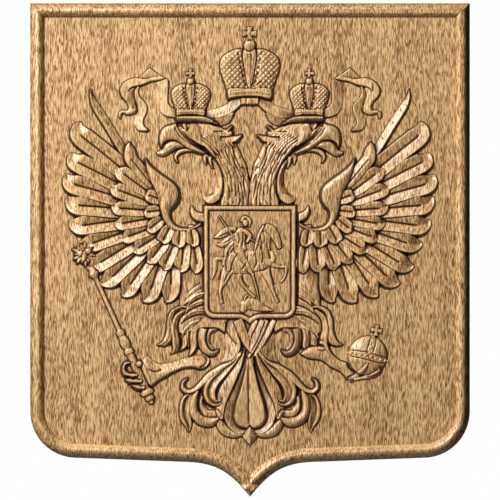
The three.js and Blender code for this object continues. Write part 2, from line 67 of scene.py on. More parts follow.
MITRE_LIMIT = 0.3


def bezier(start, first, second, end, count):
    t = np.linspace(0, 1, count, endpoint=False)[:, None]
    a, b, c, d = (np.array(p, float) for p in (start, first, second, end))
    return (1 - t) ** 3 * a + 3 * t * (1 - t) ** 2 * b + 3 * t * t * (1 - t) * c + t ** 3 * d


def mirrored_outline(right):
    left = right[1:][::-1] * (-1, 1)
    return np.vstack([right, left])


def shield_outline():
    low_edge = FOOT + POINT_DROP
    inner = HALF_WIDTH - CORNER_RADIUS
    turned = low_edge + CORNER_LIFT + CORNER_RADIUS
    bulge = CORNER_RADIUS * QUARTER_TURN
    point = bezier((0, FOOT), (POINT_RUN * 0.3, low_edge - POINT_DROP * 0.25),
                   (POINT_RUN * 0.5, low_edge), (POINT_RUN, low_edge), OUTLINE_STEPS)
    corner = bezier((inner, low_edge + CORNER_LIFT), (inner + bulge, low_edge + CORNER_LIFT),
                    (HALF_WIDTH, turned - bulge), (HALF_WIDTH, turned), OUTLINE_STEPS)
    side = np.array([(HALF_WIDTH, turned), (HALF_WIDTH, TOP)])
    return mirrored_outline(np.vstack([point, corner, side]))


def drawn_in(outline, distance):
    before = outline - np.roll(outline, 1, axis=0)
    after = np.roll(outline, -1, axis=0) - outline
    turn = np.array([[0, 1], [-1, 0]])
    normals = [edge / np.linalg.norm(edge, axis=1, keepdims=True) @ turn for edge in (before, after)]
    inward = normals[0] + normals[1]
    inward /= np.linalg.norm(inward, axis=1, keepdims=True)
    mitre = np.maximum(MITRE_LIMIT, (inward * normals[0]).sum(axis=1, keepdims=True))
    return outline + inward * distance / mitre


def stood_up(points):
    return [(x / 1000, -z / 1000, y / 1000) for x, y, z in points]


def in_scene(name, data):
    piece = bpy.data.objects.new(name, data)
    bpy.context.scene.collection.objects.link(piece)
    return piece


def stacked_rings(name, rings):
    count = len(rings[0])
    faces = []
    for level in range(len(rings) - 1):
        for i in range(count):
            a = level * count + i
            b = level * count + (i + 1) % count
            faces.append((a, b, b + count, a + count))
    faces.append(tuple(range(count))[::-1])
    faces.append(tuple(range((len(rings) - 1) * count, len(rings) * count)))
    mesh = bpy.data.meshes.new(name)
    mesh.from_pydata(stood_up(np.vstack(rings)), [], faces)
    return in_scene(name, mesh)


def rim_steps(count):
    for i in range(count + 1):
        share = math.cos(math.pi / 2 * i / count)
        rise = RIM_SHOULDER + (RIM_RISE - RIM_SHOULDER) * (1 - share ** RIM_ROUND) ** 0.75
        yield RIM_CREST * (1 - share), rise
    inner = RIM_WIDTH - RIM_CREST - QUIRK
    for i in range(1, count + 1):
        share = i / count
        yield RIM_CREST + inner * share, QUIRK + (RIM_RISE - QUIRK) * (1 - share ** RIM_ROUND)
    yield RIM_WIDTH - QUIRK * 0.9, 0


def levelled(outline, height):
    return np.column_stack([outline, np.full(len(outline), float(height))])


edge = shield_outline()
board_rings = [levelled(drawn_in(edge, BACK_CHAMFER), 0), levelled(edge, BACK_CHAMFER)]
for inset, rise in rim_steps(RIM_STEPS):
    board_rings.append(levelled(drawn_in(edge, inset), FIELD + rise))
board = stacked_rings("board", board_rings)

# The ground that the eagle is cut from: heights over the flat field on a fine square grid.
# Each form is cut along a line of control points [x, y, half width], and a later form lies
# over an earlier one, with a fine cut round it, as a carver sets it in.
GRID = 0.4
GROUND_HALF = 192
GROUND_FOOT = -200
GROUND_TOP = 226
SUNK = -2.0
LINE_STEP = 0.7
CARVE_MARGIN = 4
ROUND_MARGIN = 3
FINEST_HALF = 0.15
WALL_SLOPE = 2.2
SET_IN = 0.5
SET_IN_SOFTNESS = 0.9
SET_IN_REACH = 2.5
ARRIS = 0.35
ARRIS_WIDTH = 0.8
across_x = np.arange(-GROUND_HALF, GROUND_HALF + GRID / 2, GRID)
up_y = np.arange(GROUND_FOOT, GROUND_TOP, GRID)
ground = np.full((len(up_y), len(across_x)), SUNK)
mirror_forms = True


def smooth_step(value, start, end):
    t = np.clip((value - start) / (end - start), 0, 1)
    return t * t * (3 - 2 * t)


def run_along(places):
    return np.concatenate([[0], np.linalg.norm(np.diff(places, axis=0), axis=1).cumsum()])


def straight_line(knots):
    run = run_along(knots[:, :2])
    t = np.arange(0, run[-1], LINE_STEP)
    return np.column_stack([np.interp(t, run, knots[:, k]) for k in range(3)])


def bend(a, b, c, d):
    gaps = [max(1e-6, np.linalg.norm(q - p)) ** 0.5 for p, q in ((a, b), (b, c), (c, d))]
    knot = np.cumsum([0] + gaps)
    count = max(3, int(np.hypot(*(c - b)[:2]) / LINE_STEP))
    t = np.linspace(knot[1], knot[2], count, endpoint=False)[:, None]

    def between(p, q, i, j):
        return ((knot[j] - t) * p + (t - knot[i]) * q) / (knot[j] - knot[i])

    first, second, third = between(a, b, 0, 1), between(b, c, 1, 2), between(c, d, 2, 3)
    return between(between(first, second, 0, 2), between(second, third, 1, 3), 1, 2)


def smooth_line(points, straight=False):
    knots = np.array(points, float)
    if straight:
        return straight_line(knots)
    ends = np.vstack([2 * knots[0] - knots[1], knots, 2 * knots[-1] - knots[-2]])
    bends = [bend(*four) for four in zip(ends, ends[1:], ends[2:], ends[3:])]
    return np.vstack([*bends, knots[-1:]])


def flat_line(points, **options):
    return smooth_line([(x, y, 1) for x, y in points], **options)


def span(places, start, end):
    return slice(*np.searchsorted(places, (start, end)))


def patch_round(line, margin):
    reach = line[:, 2].max() + margin
    low_x, low_y = line[:, :2].min(axis=0) - reach
    high_x, high_y = line[:, :2].max(axis=0) + reach
    return span(up_y, low_y, high_y), span(across_x, low_x, high_x)


def along_and_across(line, rows, columns):
    x, y = np.meshgrid(across_x[columns].astype(np.float32), up_y[rows].astype(np.float32))
    spine = line.astype(np.float32)
    nearest = np.zeros(x.shape, int)
    best = np.full(x.shape, np.inf, np.float32)
    for i, (px, py, _) in enumerate(spine):
        square = (x - px) ** 2 + (y - py) ** 2
        closer = square < best
        best[closer] = square[closer]
        nearest[closer] = i
    tangent = np.gradient(spine[:, :2], axis=0)
    tangent /= np.linalg.norm(tangent, axis=1, keepdims=True) + 1e-9
    off = np.stack([x - spine[nearest, 0], y - spine[nearest, 1]], axis=-1)
    direction = tangent[nearest]
    ahead = (off * direction).sum(axis=-1)
    side = direction[..., 0] * off[..., 1] - direction[..., 1] * off[..., 0]
    last = len(spine) - 1
    over_end = np.where(nearest == 0, -ahead, np.where(nearest == last, ahead, 0)).clip(0)
    return nearest / last, side, over_end, np.maximum(spine[nearest, 2], FINEST_HALF), x, y


def on_both_hands(rows, columns):
    yield ground[rows, columns]
    if mirror_forms:
        yield ground[:, ::-1][rows, columns]


def lay(patch, value, outside, set_in):
    for part in on_both_hands(*patch):
        meeting = np.exp(-((value - part) / SET_IN_SOFTNESS) ** 2) * (outside < SET_IN_REACH)
        part[...] = np.where(outside > 0, np.maximum(part, value) - set_in * meeting, value)


def wall_fall(wall, outside):
    upward = np.clip(np.gradient(outside, GRID, axis=0), -1, 1)
    return wall * (1.35 + 0.35 * upward) * np.maximum(outside, 0)


def softened(outside):
    return ARRIS * smooth_step(outside, -ARRIS_WIDTH, 0)


def carve(points, section, straight=False, set_in=SET_IN, wall=WALL_SLOPE, back_wall=None, base=None):
    line = smooth_line(points, straight)
    patch = patch_round(line, CARVE_MARGIN)
    t, side, over_end, half, x, y = along_and_across(line, *patch)
    u = np.clip(side / half, -1, 1)
    beside = np.abs(side) - half
    outside = np.where(over_end > 0, np.hypot(np.maximum(beside, 0), over_end), beside)
    height = section(u, t, side, half)
    if base:
        height = height + base(x, y)
    slope = np.where(side < 0, back_wall or wall, wall)
    height = height - softened(outside) - wall_fall(slope, outside)
    lay(patch, height, outside, set_in)


def carve_round(centre, radius, section, set_in=SET_IN, wall=WALL_SLOPE):
    patch = patch_round(np.array([(*centre, radius)]), ROUND_MARGIN)
    x, y = np.meshgrid(across_x[patch[1]], up_y[patch[0]])
    off = np.hypot(x - centre[0], y - centre[1])
    height = section(np.minimum(off / radius, 1), x, y)
    lay(patch, height - wall_fall(wall, off - radius), off - radius, set_in)


def inside_by(outline, x, y):
    nearest = np.full(x.shape, np.inf)
    within = np.zeros(x.shape, bool)
    for (ax, ay), (bx, by) in zip(outline, np.roll(outline, -1, axis=0)):
        dx, dy = bx - ax, by - ay
        t = np.clip(((x - ax) * dx + (y - ay) * dy) / (dx * dx + dy * dy + 1e-9), 0, 1)
        nearest = np.minimum(nearest, np.hypot(x - ax - t * dx, y - ay - t * dy))
        crosses = (ay > y) != (by > y)
        within ^= crosses & (x < ax + (y - ay) * dx / (dy if dy else 1))
    return np.where(within, nearest, -nearest)


def carve_shape(outline, surface, set_in=SET_IN, wall=WALL_SLOPE, straight=False):
    loop = flat_line((*outline, outline[0]), straight=straight)[::2]
    patch = patch_round(loop, CARVE_MARGIN)
    x, y = np.meshgrid(across_x[patch[1]], up_y[patch[0]])
    inset = inside_by(loop[:, :2], x, y)
    height = surface(x, y, np.maximum(inset, 0)) - softened(-inset)
    lay(patch, height - wall_fall(wall, -inset), -inset, set_in)


def rounded(inset, reach):
    return np.sqrt(1 - (1 - np.minimum(inset / reach, 1)) ** 2)


def domed(lift, rise, reach):
    return lambda x, y, inset: lift + rise * rounded(inset, reach)


def score(points, depth, width=0.8):
    line = smooth_line([(x, y, width) for x, y in points])
    patch = patch_round(line, 2 * width)
    t, side, over_end, *_ = along_and_across(line, *patch)
    fade = smooth_step(t, 0, 0.06) * (1 - smooth_step(t, 0.94, 1))
    cut = depth * fade * np.exp(-(np.hypot(side, over_end) / width) ** 2)
    for part in on_both_hands(*patch):
        part[...] = np.where(part > 0, part - cut, part)


def swelled(lift, rise):
    return lambda u, t, side, half: lift - rise * u ** 2


def dished(lift, depth):
    return lambda u, t, side, half: (lift - depth * (1 - u * u)).astype(float)


def tilted(lift, tilt, swell=0.5):
    return lambda u, t, side, half: lift + tilt * u - swell * u * u


# The body beside the escutcheon: a plain swelling of the same oak that the lowest feathers lie
# over, with three short cuts for the down on it.
carve([(-54, 24, 7), (-56, 8, 10.5), (-58, -30, 12), (-57, -62, 13)], swelled(6.2, 1.8))
for x, y, tip_x, tip_y in ((-49, -33, -63, -44), (-48, -38, -66, -52), (-50, -45, -62, -53)):
    score([(x, y), ((x + tip_x) / 2, (y + tip_y) / 2 + 1), (tip_x, tip_y)], 0.8, 0.9)

# The wings: three rows of feathers that lap one another like slates, under a smooth arm. Two
# vanes fall to a cut quill line and end in a blunt point, the trailing vane in a clear step.
# Each is [end of quill x, y, tip x, y, half width, hollow]. A negative hollow is a plain blade.
LONG_FEATHERS = [
    (-169, 115, -175, 127.5, 10.2, 0.7), (-172.5, 88, -182, 95, 9.8, 0.8), (-176, 66, -187.5, 73, 9.8, 0.9),
    (-172, 44.8, -186, 49.5, 9.6, 1), (-168, 24.5, -182.5, 25.5, 9.4, 1), (-158, 6.5, -173, 2.5, 9, 1.05),
    (-150, -13, -163.4, -20.5, 9, 1.1), (-137.5, -27, -148, -37.5, 9.2, 1.1),
    (-119.5, -35, -124.5, -49, 9.2, 1.1), (-99, -40, -102.5, -54, 9.8, 1.1),
    (-79, -36, -79.4, -54, 9.4, 1.1),
]
COVERTS = [
    (-118.6, 91, -122.6, 109, 6.2, -0.3), (-125.5, 75.5, -136.4, 80, 7.8, 0.7),
    (-131, 59.5, -141, 62, 7.4, 0.8), (-130, 41.6, -140, 43, 7.1, 0.9), (-127, 26.5, -137, 25.6, 6.9, 1),
    (-121, 13.5, -129.8, 9, 6.8, 1), (-110, 2.5, -116.4, -4, 7, 1), (-97, -7, -102.4, -14.4, 7, 1.1),
    (-84, -13, -83.4, -21.8, 7, 1.1), (-68, -14, -67.4, -23.6, 7.6, 1.1), (-53, -14, -53, -25.4, 6.4, 1),
]
SMALL_COVERTS = [
    (-99.5, 54, -107, 53.4, 6.4, 0.6), (-101, 38, -108, 38, 6, 0.7), (-98, 22.5, -104.4, 18.6, 6.2, 0.8),
    (-86, 11, -86.6, 4.4, 6.8, 0.9), (-71, 7.5, -71, 0.4, 6.8, 0.9), (-57, 8, -57, 1.4, 6.5, 0.9),
]
LONG_CLIMB = 5.4
ROWS = [
    (LONG_FEATHERS, [(-105, 62), (-112, 42), (-101, 12), (-79, -4)], 1.6, LONG_CLIMB),
    (COVERTS, [(-97, 64), (-99, 40), (-85, 14), (-57, 8)], 5.0, 3.6),
    (SMALL_COVERTS, [(-88, 50), (-90, 34), (-76, 22), (-59, 20)], 8.4, 1.4),
]
TRAILING_RISE = 0.4
LEADING_RISE = 0.28
QUILL_CUT = 1.7
QUILL_HALF = 0.75
TRAILING_WALL = 2.8
LEADING_WALL = 3.0
TIP_SET_BACK = 2.4
TIP_SHAPE = [(0, 0.98, 0), (0.34, 0.92, 0.04), (0.64, 0.72, 0.16), (0.86, 0.44, 0.32), (1, 0.12, 0.5)]
TIP_DROP = 0.8
BLADE_LIFT = 3.0
BLADE_FALL = 0.56
FORE_FALL = 0.1


def feather(root, quill_x, quill_y, tip_x, tip_y, half, hollow, lift, climb):
    quill = np.array([quill_x, quill_y])
    tip = np.array([tip_x, tip_y])
    tip = tip + (quill - tip) / np.linalg.norm(quill - tip) * TIP_SET_BACK
    length = np.linalg.norm(tip - quill)
    leading = np.array([tip[1] - quill[1], quill[0] - tip[0]]) / length * half
    outline = [(root, 0.62), (root * 0.66 + quill * 0.34, 0.96), (root * 0.3 + quill * 0.7, 1.0)]
    for on, width, shift in TIP_SHAPE:
        place = quill * (1 - on) + tip * on + leading * shift * climb / LONG_CLIMB
        outline.append((place, width))
    run = run_along(np.array([place for place, _ in outline]))
    ends_at = run[3] / run[-1]
    tip_drop = (climb * TIP_DROP) * max(0.3, (quill_x - tip_x) / length)

    def section(u, t, side, _):
        spoon = smooth_step(t, ends_at - 0.05, 1.0)
        if hollow < 0:
            vane = BLADE_LIFT - BLADE_FALL * half * np.maximum(-u, 0) - FORE_FALL * half * np.maximum(u, 0)
        else:
            trough = np.where(u > 0, TRAILING_RISE * u, -LEADING_RISE * u)
            vane = hollow * half * trough * (1 - 0.3 * spoon)
        past_quill = smooth_step(t, ends_at - 0.015, ends_at + 0.015)
        quill_line = np.exp(-(side / QUILL_HALF) ** 2) * (1 - past_quill)
        rise = climb * np.minimum(t / ends_at, 1)
        return lift + rise + vane - QUILL_CUT * quill_line - tip_drop * spoon ** 1.5

    carve([(*place, half * width) for place, width in outline], section,
          set_in=0.8, wall=TRAILING_WALL, back_wall=LEADING_WALL)


FIRST_FEATHER = [
    (-112, 80, 3), (-127, 101, 3.9), (-142, 125.6, 3.9), (-154, 144.5, 3.4), (-157.6, 153, 2),
    (-158.6, 160.4, 0.3),
]
carve(FIRST_FEATHER, tilted(4.8, 2.2, 0.3), set_in=0.8)
for feathers, root_bend, lift, climb in ROWS:
    roots = flat_line(root_bend)[:, :2]
    for i in reversed(range(len(feathers))):
        root = roots[round(i / (len(feathers) - 1) * (len(roots) - 1))]
        feather(root, *feathers[i], lift, climb)

ARM = [
    (-104.4, 91), (-100, 85), (-90, 76.5), (-80, 69.5), (-74, 64), (-71.5, 59), (-71, 54), (-72, 49),
    (-75, 44), (-79, 40), (-80, 35), (-79, 30), (-76, 25.4), (-71, 22.6), (-63, 21.4), (-56, 23.2),
    (-49, 27), (-49, 25), (-57, 20.8), (-65, 19), (-74, 18.8), (-81, 23), (-86, 30), (-89.5, 40), (-92, 52),
    (-96, 62), (-100, 70), (-103, 79),
]
ARM_LIFT = 7.6
ARM_SWELL = 4.4
ARM_REACH = 8


def arm_surface(x, y, inset):
    low_down = 1 - smooth_step(y, 24, 50)
    return ARM_LIFT + ARM_SWELL * rounded(inset, ARM_REACH) * (1 - 0.5 * low_down)


carve_shape(ARM, arm_surface, set_in=0.5)

# The necks. They are covered with long locks that lie over one another in staggered rows,
# each rising from its root to a loose tip, and two small tufts spring beside the escutcheon.
LOCK_RISE = 1.1
NECK_FRONT = [(-46, 104), (-38, 90), (-31, 77), (-28, 64), (-28, 52), (-31, 43)]
NECK_BACK = [(-16, 110), (-12, 98), (-8, 86), (-3.5, 74), (-1, 60), (0, 43)]
unsteady = np.random.default_rng(11)


def ridged(lift, rise, ridge):
    return lambda u, t, side, half: lift + rise * (t - 0.6) - ridge * u * u


def locks(first, second, columns, rows, lift, swell, half, overlap, ridge):
    sides = [flat_line(points)[:, :2] for points in (first, second)]

    def at(share, t):
        ends = [side[round(t * (len(side) - 1))] for side in sides]
        return (1 - share) * ends[0] + share * ends[1]

    for row in reversed(range(rows)):
        for column in unsteady.permutation(columns):
            share = (column + 0.5 + 0.35 * (row % 2) + unsteady.uniform(-0.15, 0.15)) / columns
            if share > 1:
                continue
            start = (row + 0.5 * (column % 2) - 0.4 + unsteady.uniform(-0.2, 0.2)) / rows
            stops = [np.clip(start + overlap * k / (3 * rows), 0, 1) for k in range(4)]
            if stops[-1] - stops[0] < 0.3 / rows:
                continue
            level = lift - swell * (2 * share - 1) ** 2 - 2.4 * max(0, share - 0.6)
            line = [(*at(share, stop), half * w) for stop, w in zip(stops, (0.6, 1, 0.8, 0.12))]
            carve(line, ridged(level, LOCK_RISE, ridge), set_in=0.35, wall=2.5)


ESCUTCHEON_TUFT = [
    (-58.4, 44.4), (-59.6, 39.4), (-58.4, 34.6), (-55.4, 31), (-51, 28.8), (-44, 28), (-44, 37), (-50, 37),
    (-54.4, 39), (-57, 42.4),
]


def tuft_surface(x, y, inset):
    return 4.2 + 0.16 * (44 - y) + 1.2 * np.minimum(inset / 2, 1)


carve_shape(ESCUTCHEON_TUFT, tuft_surface, set_in=0.6)
carve([(-42, 112, 11), (-29, 102, 14), (-19.5, 86, 13), (-14.5, 66, 14), (-14, 40, 16)], swelled(7.6, 2.6))
locks(NECK_FRONT, NECK_BACK, columns=8, rows=4, lift=9.4, swell=2.6, half=2.6, overlap=1.7, ridge=1.15)
for x, y, tip_x, tip_y in ((-10, 92, -3.2, 82.6), (-8, 82, -3.3, 74)):
    middle = ((x + tip_x) / 2, (y + tip_y) / 2 - 1)
    carve([(x - 1, y, 1.2), (x, y - 1.5, 2.4), (*middle, 2.2), (tip_x, tip_y, 0.3)],
          tilted(5.8, -1.2, 0.6), set_in=0.3)

# The heads: a flat brow under a crown, a hooked beak with its tongue out, a mask of two fine
# grooves from the brow to the throat, and combed cheek feathers behind it.
carve([(-74, 120, 3), (-62, 117.5, 9), (-44, 113.5, 12.4), (-27, 114, 8), (-18, 117, 2)], swelled(9.4, 2.6))
carve([(-58, 126, 4), (-56, 119, 6.4), (-52, 111, 5), (-46, 104, 1)], swelled(11.0, 2.2), set_in=0)
CHEEK_STRANDS = 9
for k in reversed(range(CHEEK_STRANDS)):
    s = k / (CHEEK_STRANDS - 1)
    start = np.array((-50.5 + 18.5 * s, 110.5 + 11 * s))
    end = np.array((-33.5 + 17 * s + 1.5 * math.sin(7 * s), 91.5 + 13 * s + 2 * math.sin(5 * s)))
    middle = (start + end) / 2 + (0.8, 0.8)
    strand = [(*start, 0.5), (*((start + middle) / 2), 1.5), (*middle, 1.9)]
    strand += [(*((middle + end) / 2), 1.5), (*end, 0.3)]
    carve(strand, lambda u, t, side, half: 11.2 - 1.6 * s - 1.2 * t * t - 0.9 * u * u, set_in=0.4, wall=2.5)
CHEEK_CURL = [(-37, 117.6, 0.8), (-30, 117.2, 1.6), (-24, 118.6, 1.2), (-18.6, 123.6, 0.3)]
carve(CHEEK_CURL, tilted(8.6, -0.9, 0.4), set_in=0.8)
LOW_CURL = [(-30, 111, 2.4), (-21, 110.6, 3), (-14.6, 111.4, 2.4), (-9, 114.8, 0.3)]
carve(LOW_CURL, tilted(8.0, -1.0, 0.4), set_in=0.8)
LOWER_BEAK = [(-56, 99, 0.8), (-64, 99.8, 1.5), (-71, 97.6, 1.9), (-74.2, 93, 1.5), (-72.3, 87.8, 0.3)]
carve(LOWER_BEAK, swelled(5.6, 0.8))
TONGUE = [
    (-62, 104), (-68, 106.4), (-74, 108.4), (-80, 108), (-85, 104.6), (-88, 100), (-93.4, 97.4),
    (-91, 94.6), (-86, 93.7), (-80, 97), (-73, 101.3), (-66, 102.5),
]
carve_shape(TONGUE, lambda x, y, inset: 4.4 + 1.6 * np.minimum(inset / 3, 1) + 0.14 * (y - 100), set_in=0.7)
BEAK = [
    (-74, 127), (-78, 125.4), (-82.4, 124.5), (-86, 122.6), (-89, 118.8), (-90.6, 112), (-90.2, 106.6),
    (-88.2, 102.6), (-87, 105.6), (-85, 107.6), (-82, 109.2), (-77, 109.7), (-72.7, 108.6), (-68.7, 105.8),
    (-64, 102.4), (-60, 100), (-54, 98), (-47, 95.8), (-40, 93), (-42, 97), (-50, 101.4), (-57, 106),
    (-63, 111.5), (-69, 118),
]
carve_shape(BEAK, domed(5.8, 3.8, 6.5), set_in=0.7)
for groove, depth, width in (
    ([(-76, 124), (-71.6, 116.4), (-66.4, 110.6), (-60.6, 107.2), (-53.4, 103.6), (-46, 99.4), (-39, 93)],
     1.6, 1.1),
    ([(-72.4, 127.6), (-69, 120), (-64.6, 114.6), (-60, 110), (-53, 105), (-44, 98.6), (-36, 91)],
     2.6, 1.4),
    ([(-60.6, 127), (-61.2, 122), (-63.6, 118)], 1.6, 0.9),
    ([(-69.4, 124.4), (-66.6, 121.6), (-63, 121.6)], 1.8, 0.8),
):
    score(groove, depth, width)
carve([(-66.4, 125.6, 1.6), (-64.8, 123, 1.8), (-64, 120.6, 0.8)], swelled(10.2, 1.0), set_in=0.4)

THROAT_LOCK = [
    (-40, 93), (-36.7, 91.7), (-32, 87.7), (-29.6, 82), (-27, 75), (-26, 69), (-26, 62), (-27, 56.7),
    (-30.5, 51), (-34, 48), (-39, 46), (-43.4, 48), (-48.6, 53.4), (-44, 54), (-39, 57), (-36.4, 62),
    (-34.4, 67), (-34, 73), (-35.4, 80), (-38, 87),
]
THROAT_FLUSH = [
    (46, -52), (54, -45), (57, -40), (62, -37.4), (67, -35.4), (73, -35), (80, -36.4), (93, -41),
]


def throat_surface(x, y, inset):
    from_left = x - np.interp(y, *zip(*THROAT_FLUSH))
    swell = 6 * smooth_step(from_left, 0, 9)
    return 0.1 + swell + 1.2 * smooth_step(y, 62, 70) * smooth_step(from_left, 0, 2)


carve_shape(THROAT_LOCK, throat_surface, set_in=0.2)
score([(-45, 97), (-37.4, 92), (-31, 83.4), (-26.8, 70), (-26.8, 58), (-29.6, 50.6)], 2.6, 1.1)
carve([(-44, 96, 2), (-45, 91, 1.8), (-43.8, 85.4, 0.3)], swelled(4.2, 0.8))
carve([(-40, 93, 2), (-39.6, 88, 1.6), (-37.4, 82, 0.3)], swelled(4.6, 0.8))

# The ribbon that joins the crowns: a flat band that folds over at each side and falls in two
# waving tails. It is hardly thicker than its own edge, so the bends are shown by their tilt.
UPRIGHT_BAND = [
    (-70, 132.4), (-80, 133.2), (-86.3, 135.3), (-90.3, 139), (-92.3, 144), (-93.3, 152), (-93, 162),
    (-92, 172), (-84, 172), (-82, 169), (-82.4, 150), (-81.7, 146), (-79, 143), (-75.7, 141.3), (-70, 141),
]
carve_shape(UPRIGHT_BAND, lambda x, y, inset: 1.1 + 2.6 * smooth_step(x, -93, -80), set_in=0.5)
NEAR_TAIL = [
    (-110, 166), (-111.7, 160), (-111.7, 157), (-109.7, 152), (-105.7, 148), (-103.3, 143.7), (-103.3, 139),
    (-105, 134), (-107, 129.7), (-106.7, 125), (-102.6, 119.8), (-105.7, 119.3), (-111.7, 120),
    (-115, 123.7), (-116.3, 126), (-115.7, 130), (-113.7, 136), (-111.7, 140), (-113, 145), (-117, 152),
    (-120, 160),
]
carve_shape(NEAR_TAIL, lambda x, y, inset: 3.0 + 0.28 * (x + 109 - 4 * np.sin((y - 128) / 7.5)), set_in=0.6)
FAR_TAIL = [
    (-112, 164), (-116, 157), (-114.6, 148), (-113, 142), (-114, 138), (-117, 136), (-122, 135),
    (-127.4, 136.6), (-129.4, 131.3), (-131.6, 134), (-131, 137.4), (-127, 140), (-122.6, 139.6),
    (-121, 142.4), (-123.7, 148.7), (-128, 154), (-129.4, 160), (-127, 165), (-120, 167),
]


def far_tail_surface(x, y, inset):
    return 3.4 - 0.32 * (x + 120) * (y > 141) + 1.2 * np.minimum(inset / 2, 1)


carve_shape(FAR_TAIL, far_tail_surface, set_in=0.6)
FOLD_BACK = [(-110, 172.6), (-100, 182), (-95, 178), (-90, 174.8), (-82, 171), (-90, 170), (-104, 169)]
carve_shape(FOLD_BACK, lambda x, y, inset: 2.6 + 0.2 * (y - 172), set_in=0.5, straight=True)
FOLD_FRONT = [
    (-84, 171.8), (-90, 174), (-95, 173.3), (-105, 171.2), (-115, 172), (-120, 170.7), (-124.6, 168),
    (-128, 164), (-129.4, 160), (-129, 155.7), (-126, 151.7), (-123.7, 148.9), (-123.6, 155), (-121, 160.6),
    (-117, 163.4), (-110, 165), (-106, 166.3), (-99, 169), (-91, 170.2),
]


def fold_front_surface(x, y, inset):
    return 4.8 - 0.25 * (y - 168) * (x > -122) - 0.1 * (x + 120) * (x < -120)


carve_shape(FOLD_FRONT, fold_front_surface, set_in=0.8)
BETWEEN_CROWNS = [
    (-43, 139.7), (-36, 141.2), (-30, 143), (-23, 146), (-16.7, 151.5), (-4, 152), (-8, 146.7),
    (-13, 141.7), (-20, 136.3), (-30, 132.3), (-35, 132), (-44.7, 133),
]
carve_shape(BETWEEN_CROWNS, lambda x, y, inset: 3.6 - 0.3 * (y - 139.5 - 0.55 * (x + 28)), set_in=0.6)
UNDER_FOLD = [
    (-46, 131), (-40, 131.2), (-34, 131.4), (-27, 132.8), (-21, 135.4), (-16.7, 137), (-18, 131.7),
    (-20.7, 127.7), (-25, 125), (-30, 124), (-35, 124), (-40, 126), (-46, 128),
]
carve_shape(UNDER_FOLD, lambda x, y, inset: 3.4 + 0.3 * (y - 128), set_in=0.7)
PLINTH = [(-73, 129.6, 2.1), (-60, 129.2, 2.4), (-46, 128.6, 2.3), (-38, 127, 1.4), (-33, 125.4, 0.5)]
carve(PLINTH, tilted(6.7, 2.5, 0), set_in=0.7)
PLINTH_LIP = [(-73, 132.6, 0.9), (-60, 132.6, 1), (-46, 132.2, 0.9), (-37, 129, 0.5)]
carve(PLINTH_LIP, tilted(9.2, -0.5, 0.2), set_in=0.2)

# The crowns, one on each head and a larger one above both: two swelling lobes cut with crossed
# lattice, a gore between them, a band round the foot, and an orb with a cross on top. All the
# sizes are shares of a crown's half width, from the middle of its foot.
LOBE = [
    (0.25, 1.64), (0.4, 1.66), (0.62, 1.59), (0.82, 1.47), (0.95, 1.33), (1.0, 1.15), (0.98, 0.92),
    (0.9, 0.7), (0.82, 0.47), (0.74, 0.28), (0.05, 0.28), (0.1, 0.6), (0.17, 1.0), (0.23, 1.4),
]
GORE = [
    (0, 0.28), (-0.08, 0.5), (-0.17, 1.0), (-0.23, 1.4), (-0.2, 1.6), (0, 1.66), (0.2, 1.6), (0.23, 1.4),
    (0.17, 1.0), (0.08, 0.5),
]
GORE_PLEATS = [
    [(-0.07, 1.5), (-0.06, 1.1), (-0.02, 0.7)], [(0.07, 1.5), (0.06, 1.1), (0.02, 0.7)],
    [(0.15, 1.4), (0.1, 0.9), (0.02, 0.4)], [(0.05, 0.38), (0.2, 0.62), (0.3, 0.9)],
    [(0.06, 0.36), (0.24, 0.46), (0.42, 0.6)], [(-0.15, 1.4), (-0.1, 0.9), (-0.02, 0.4)],
]
LOBE_SEAM = [(0.4, 1.6), (0.3, 1.1), (0.12, 0.32)]
BAND = [(-0.7, 0), (-0.35, 0.06), (0, 0.08), (0.35, 0.06), (0.7, 0), (0.72, 0.3), (0, 0.33), (-0.72, 0.3)]
ORB_COLLAR = 1.93
ORB_LINE = 1.95
ORB_PLACE = 1.76
ORB_SIZE = 0.2
CROSS_PLACE = 2.17
LATTICE_SMALL = 4.2
LATTICE_LARGE = 5.6
LATTICE_DEPTH = 1.2
LATTICE_CUT = 0.5
CROSS_SIZES = (0.25, 0.12, 0.045)


def ball(lift, rise):
    return lambda r, x, y: lift + rise * np.sqrt(1 - r * r)


def cross(x, y, reach, flare, waist, lift, turn=0.0):
    for quarter in range(4):
        a = turn + quarter * math.pi / 2
        tip = (x + reach * math.cos(a), y + reach * math.sin(a))
        carve([(x, y, waist), (*tip, flare)], swelled(lift, 0.3), straight=True, set_in=0.8, wall=6)


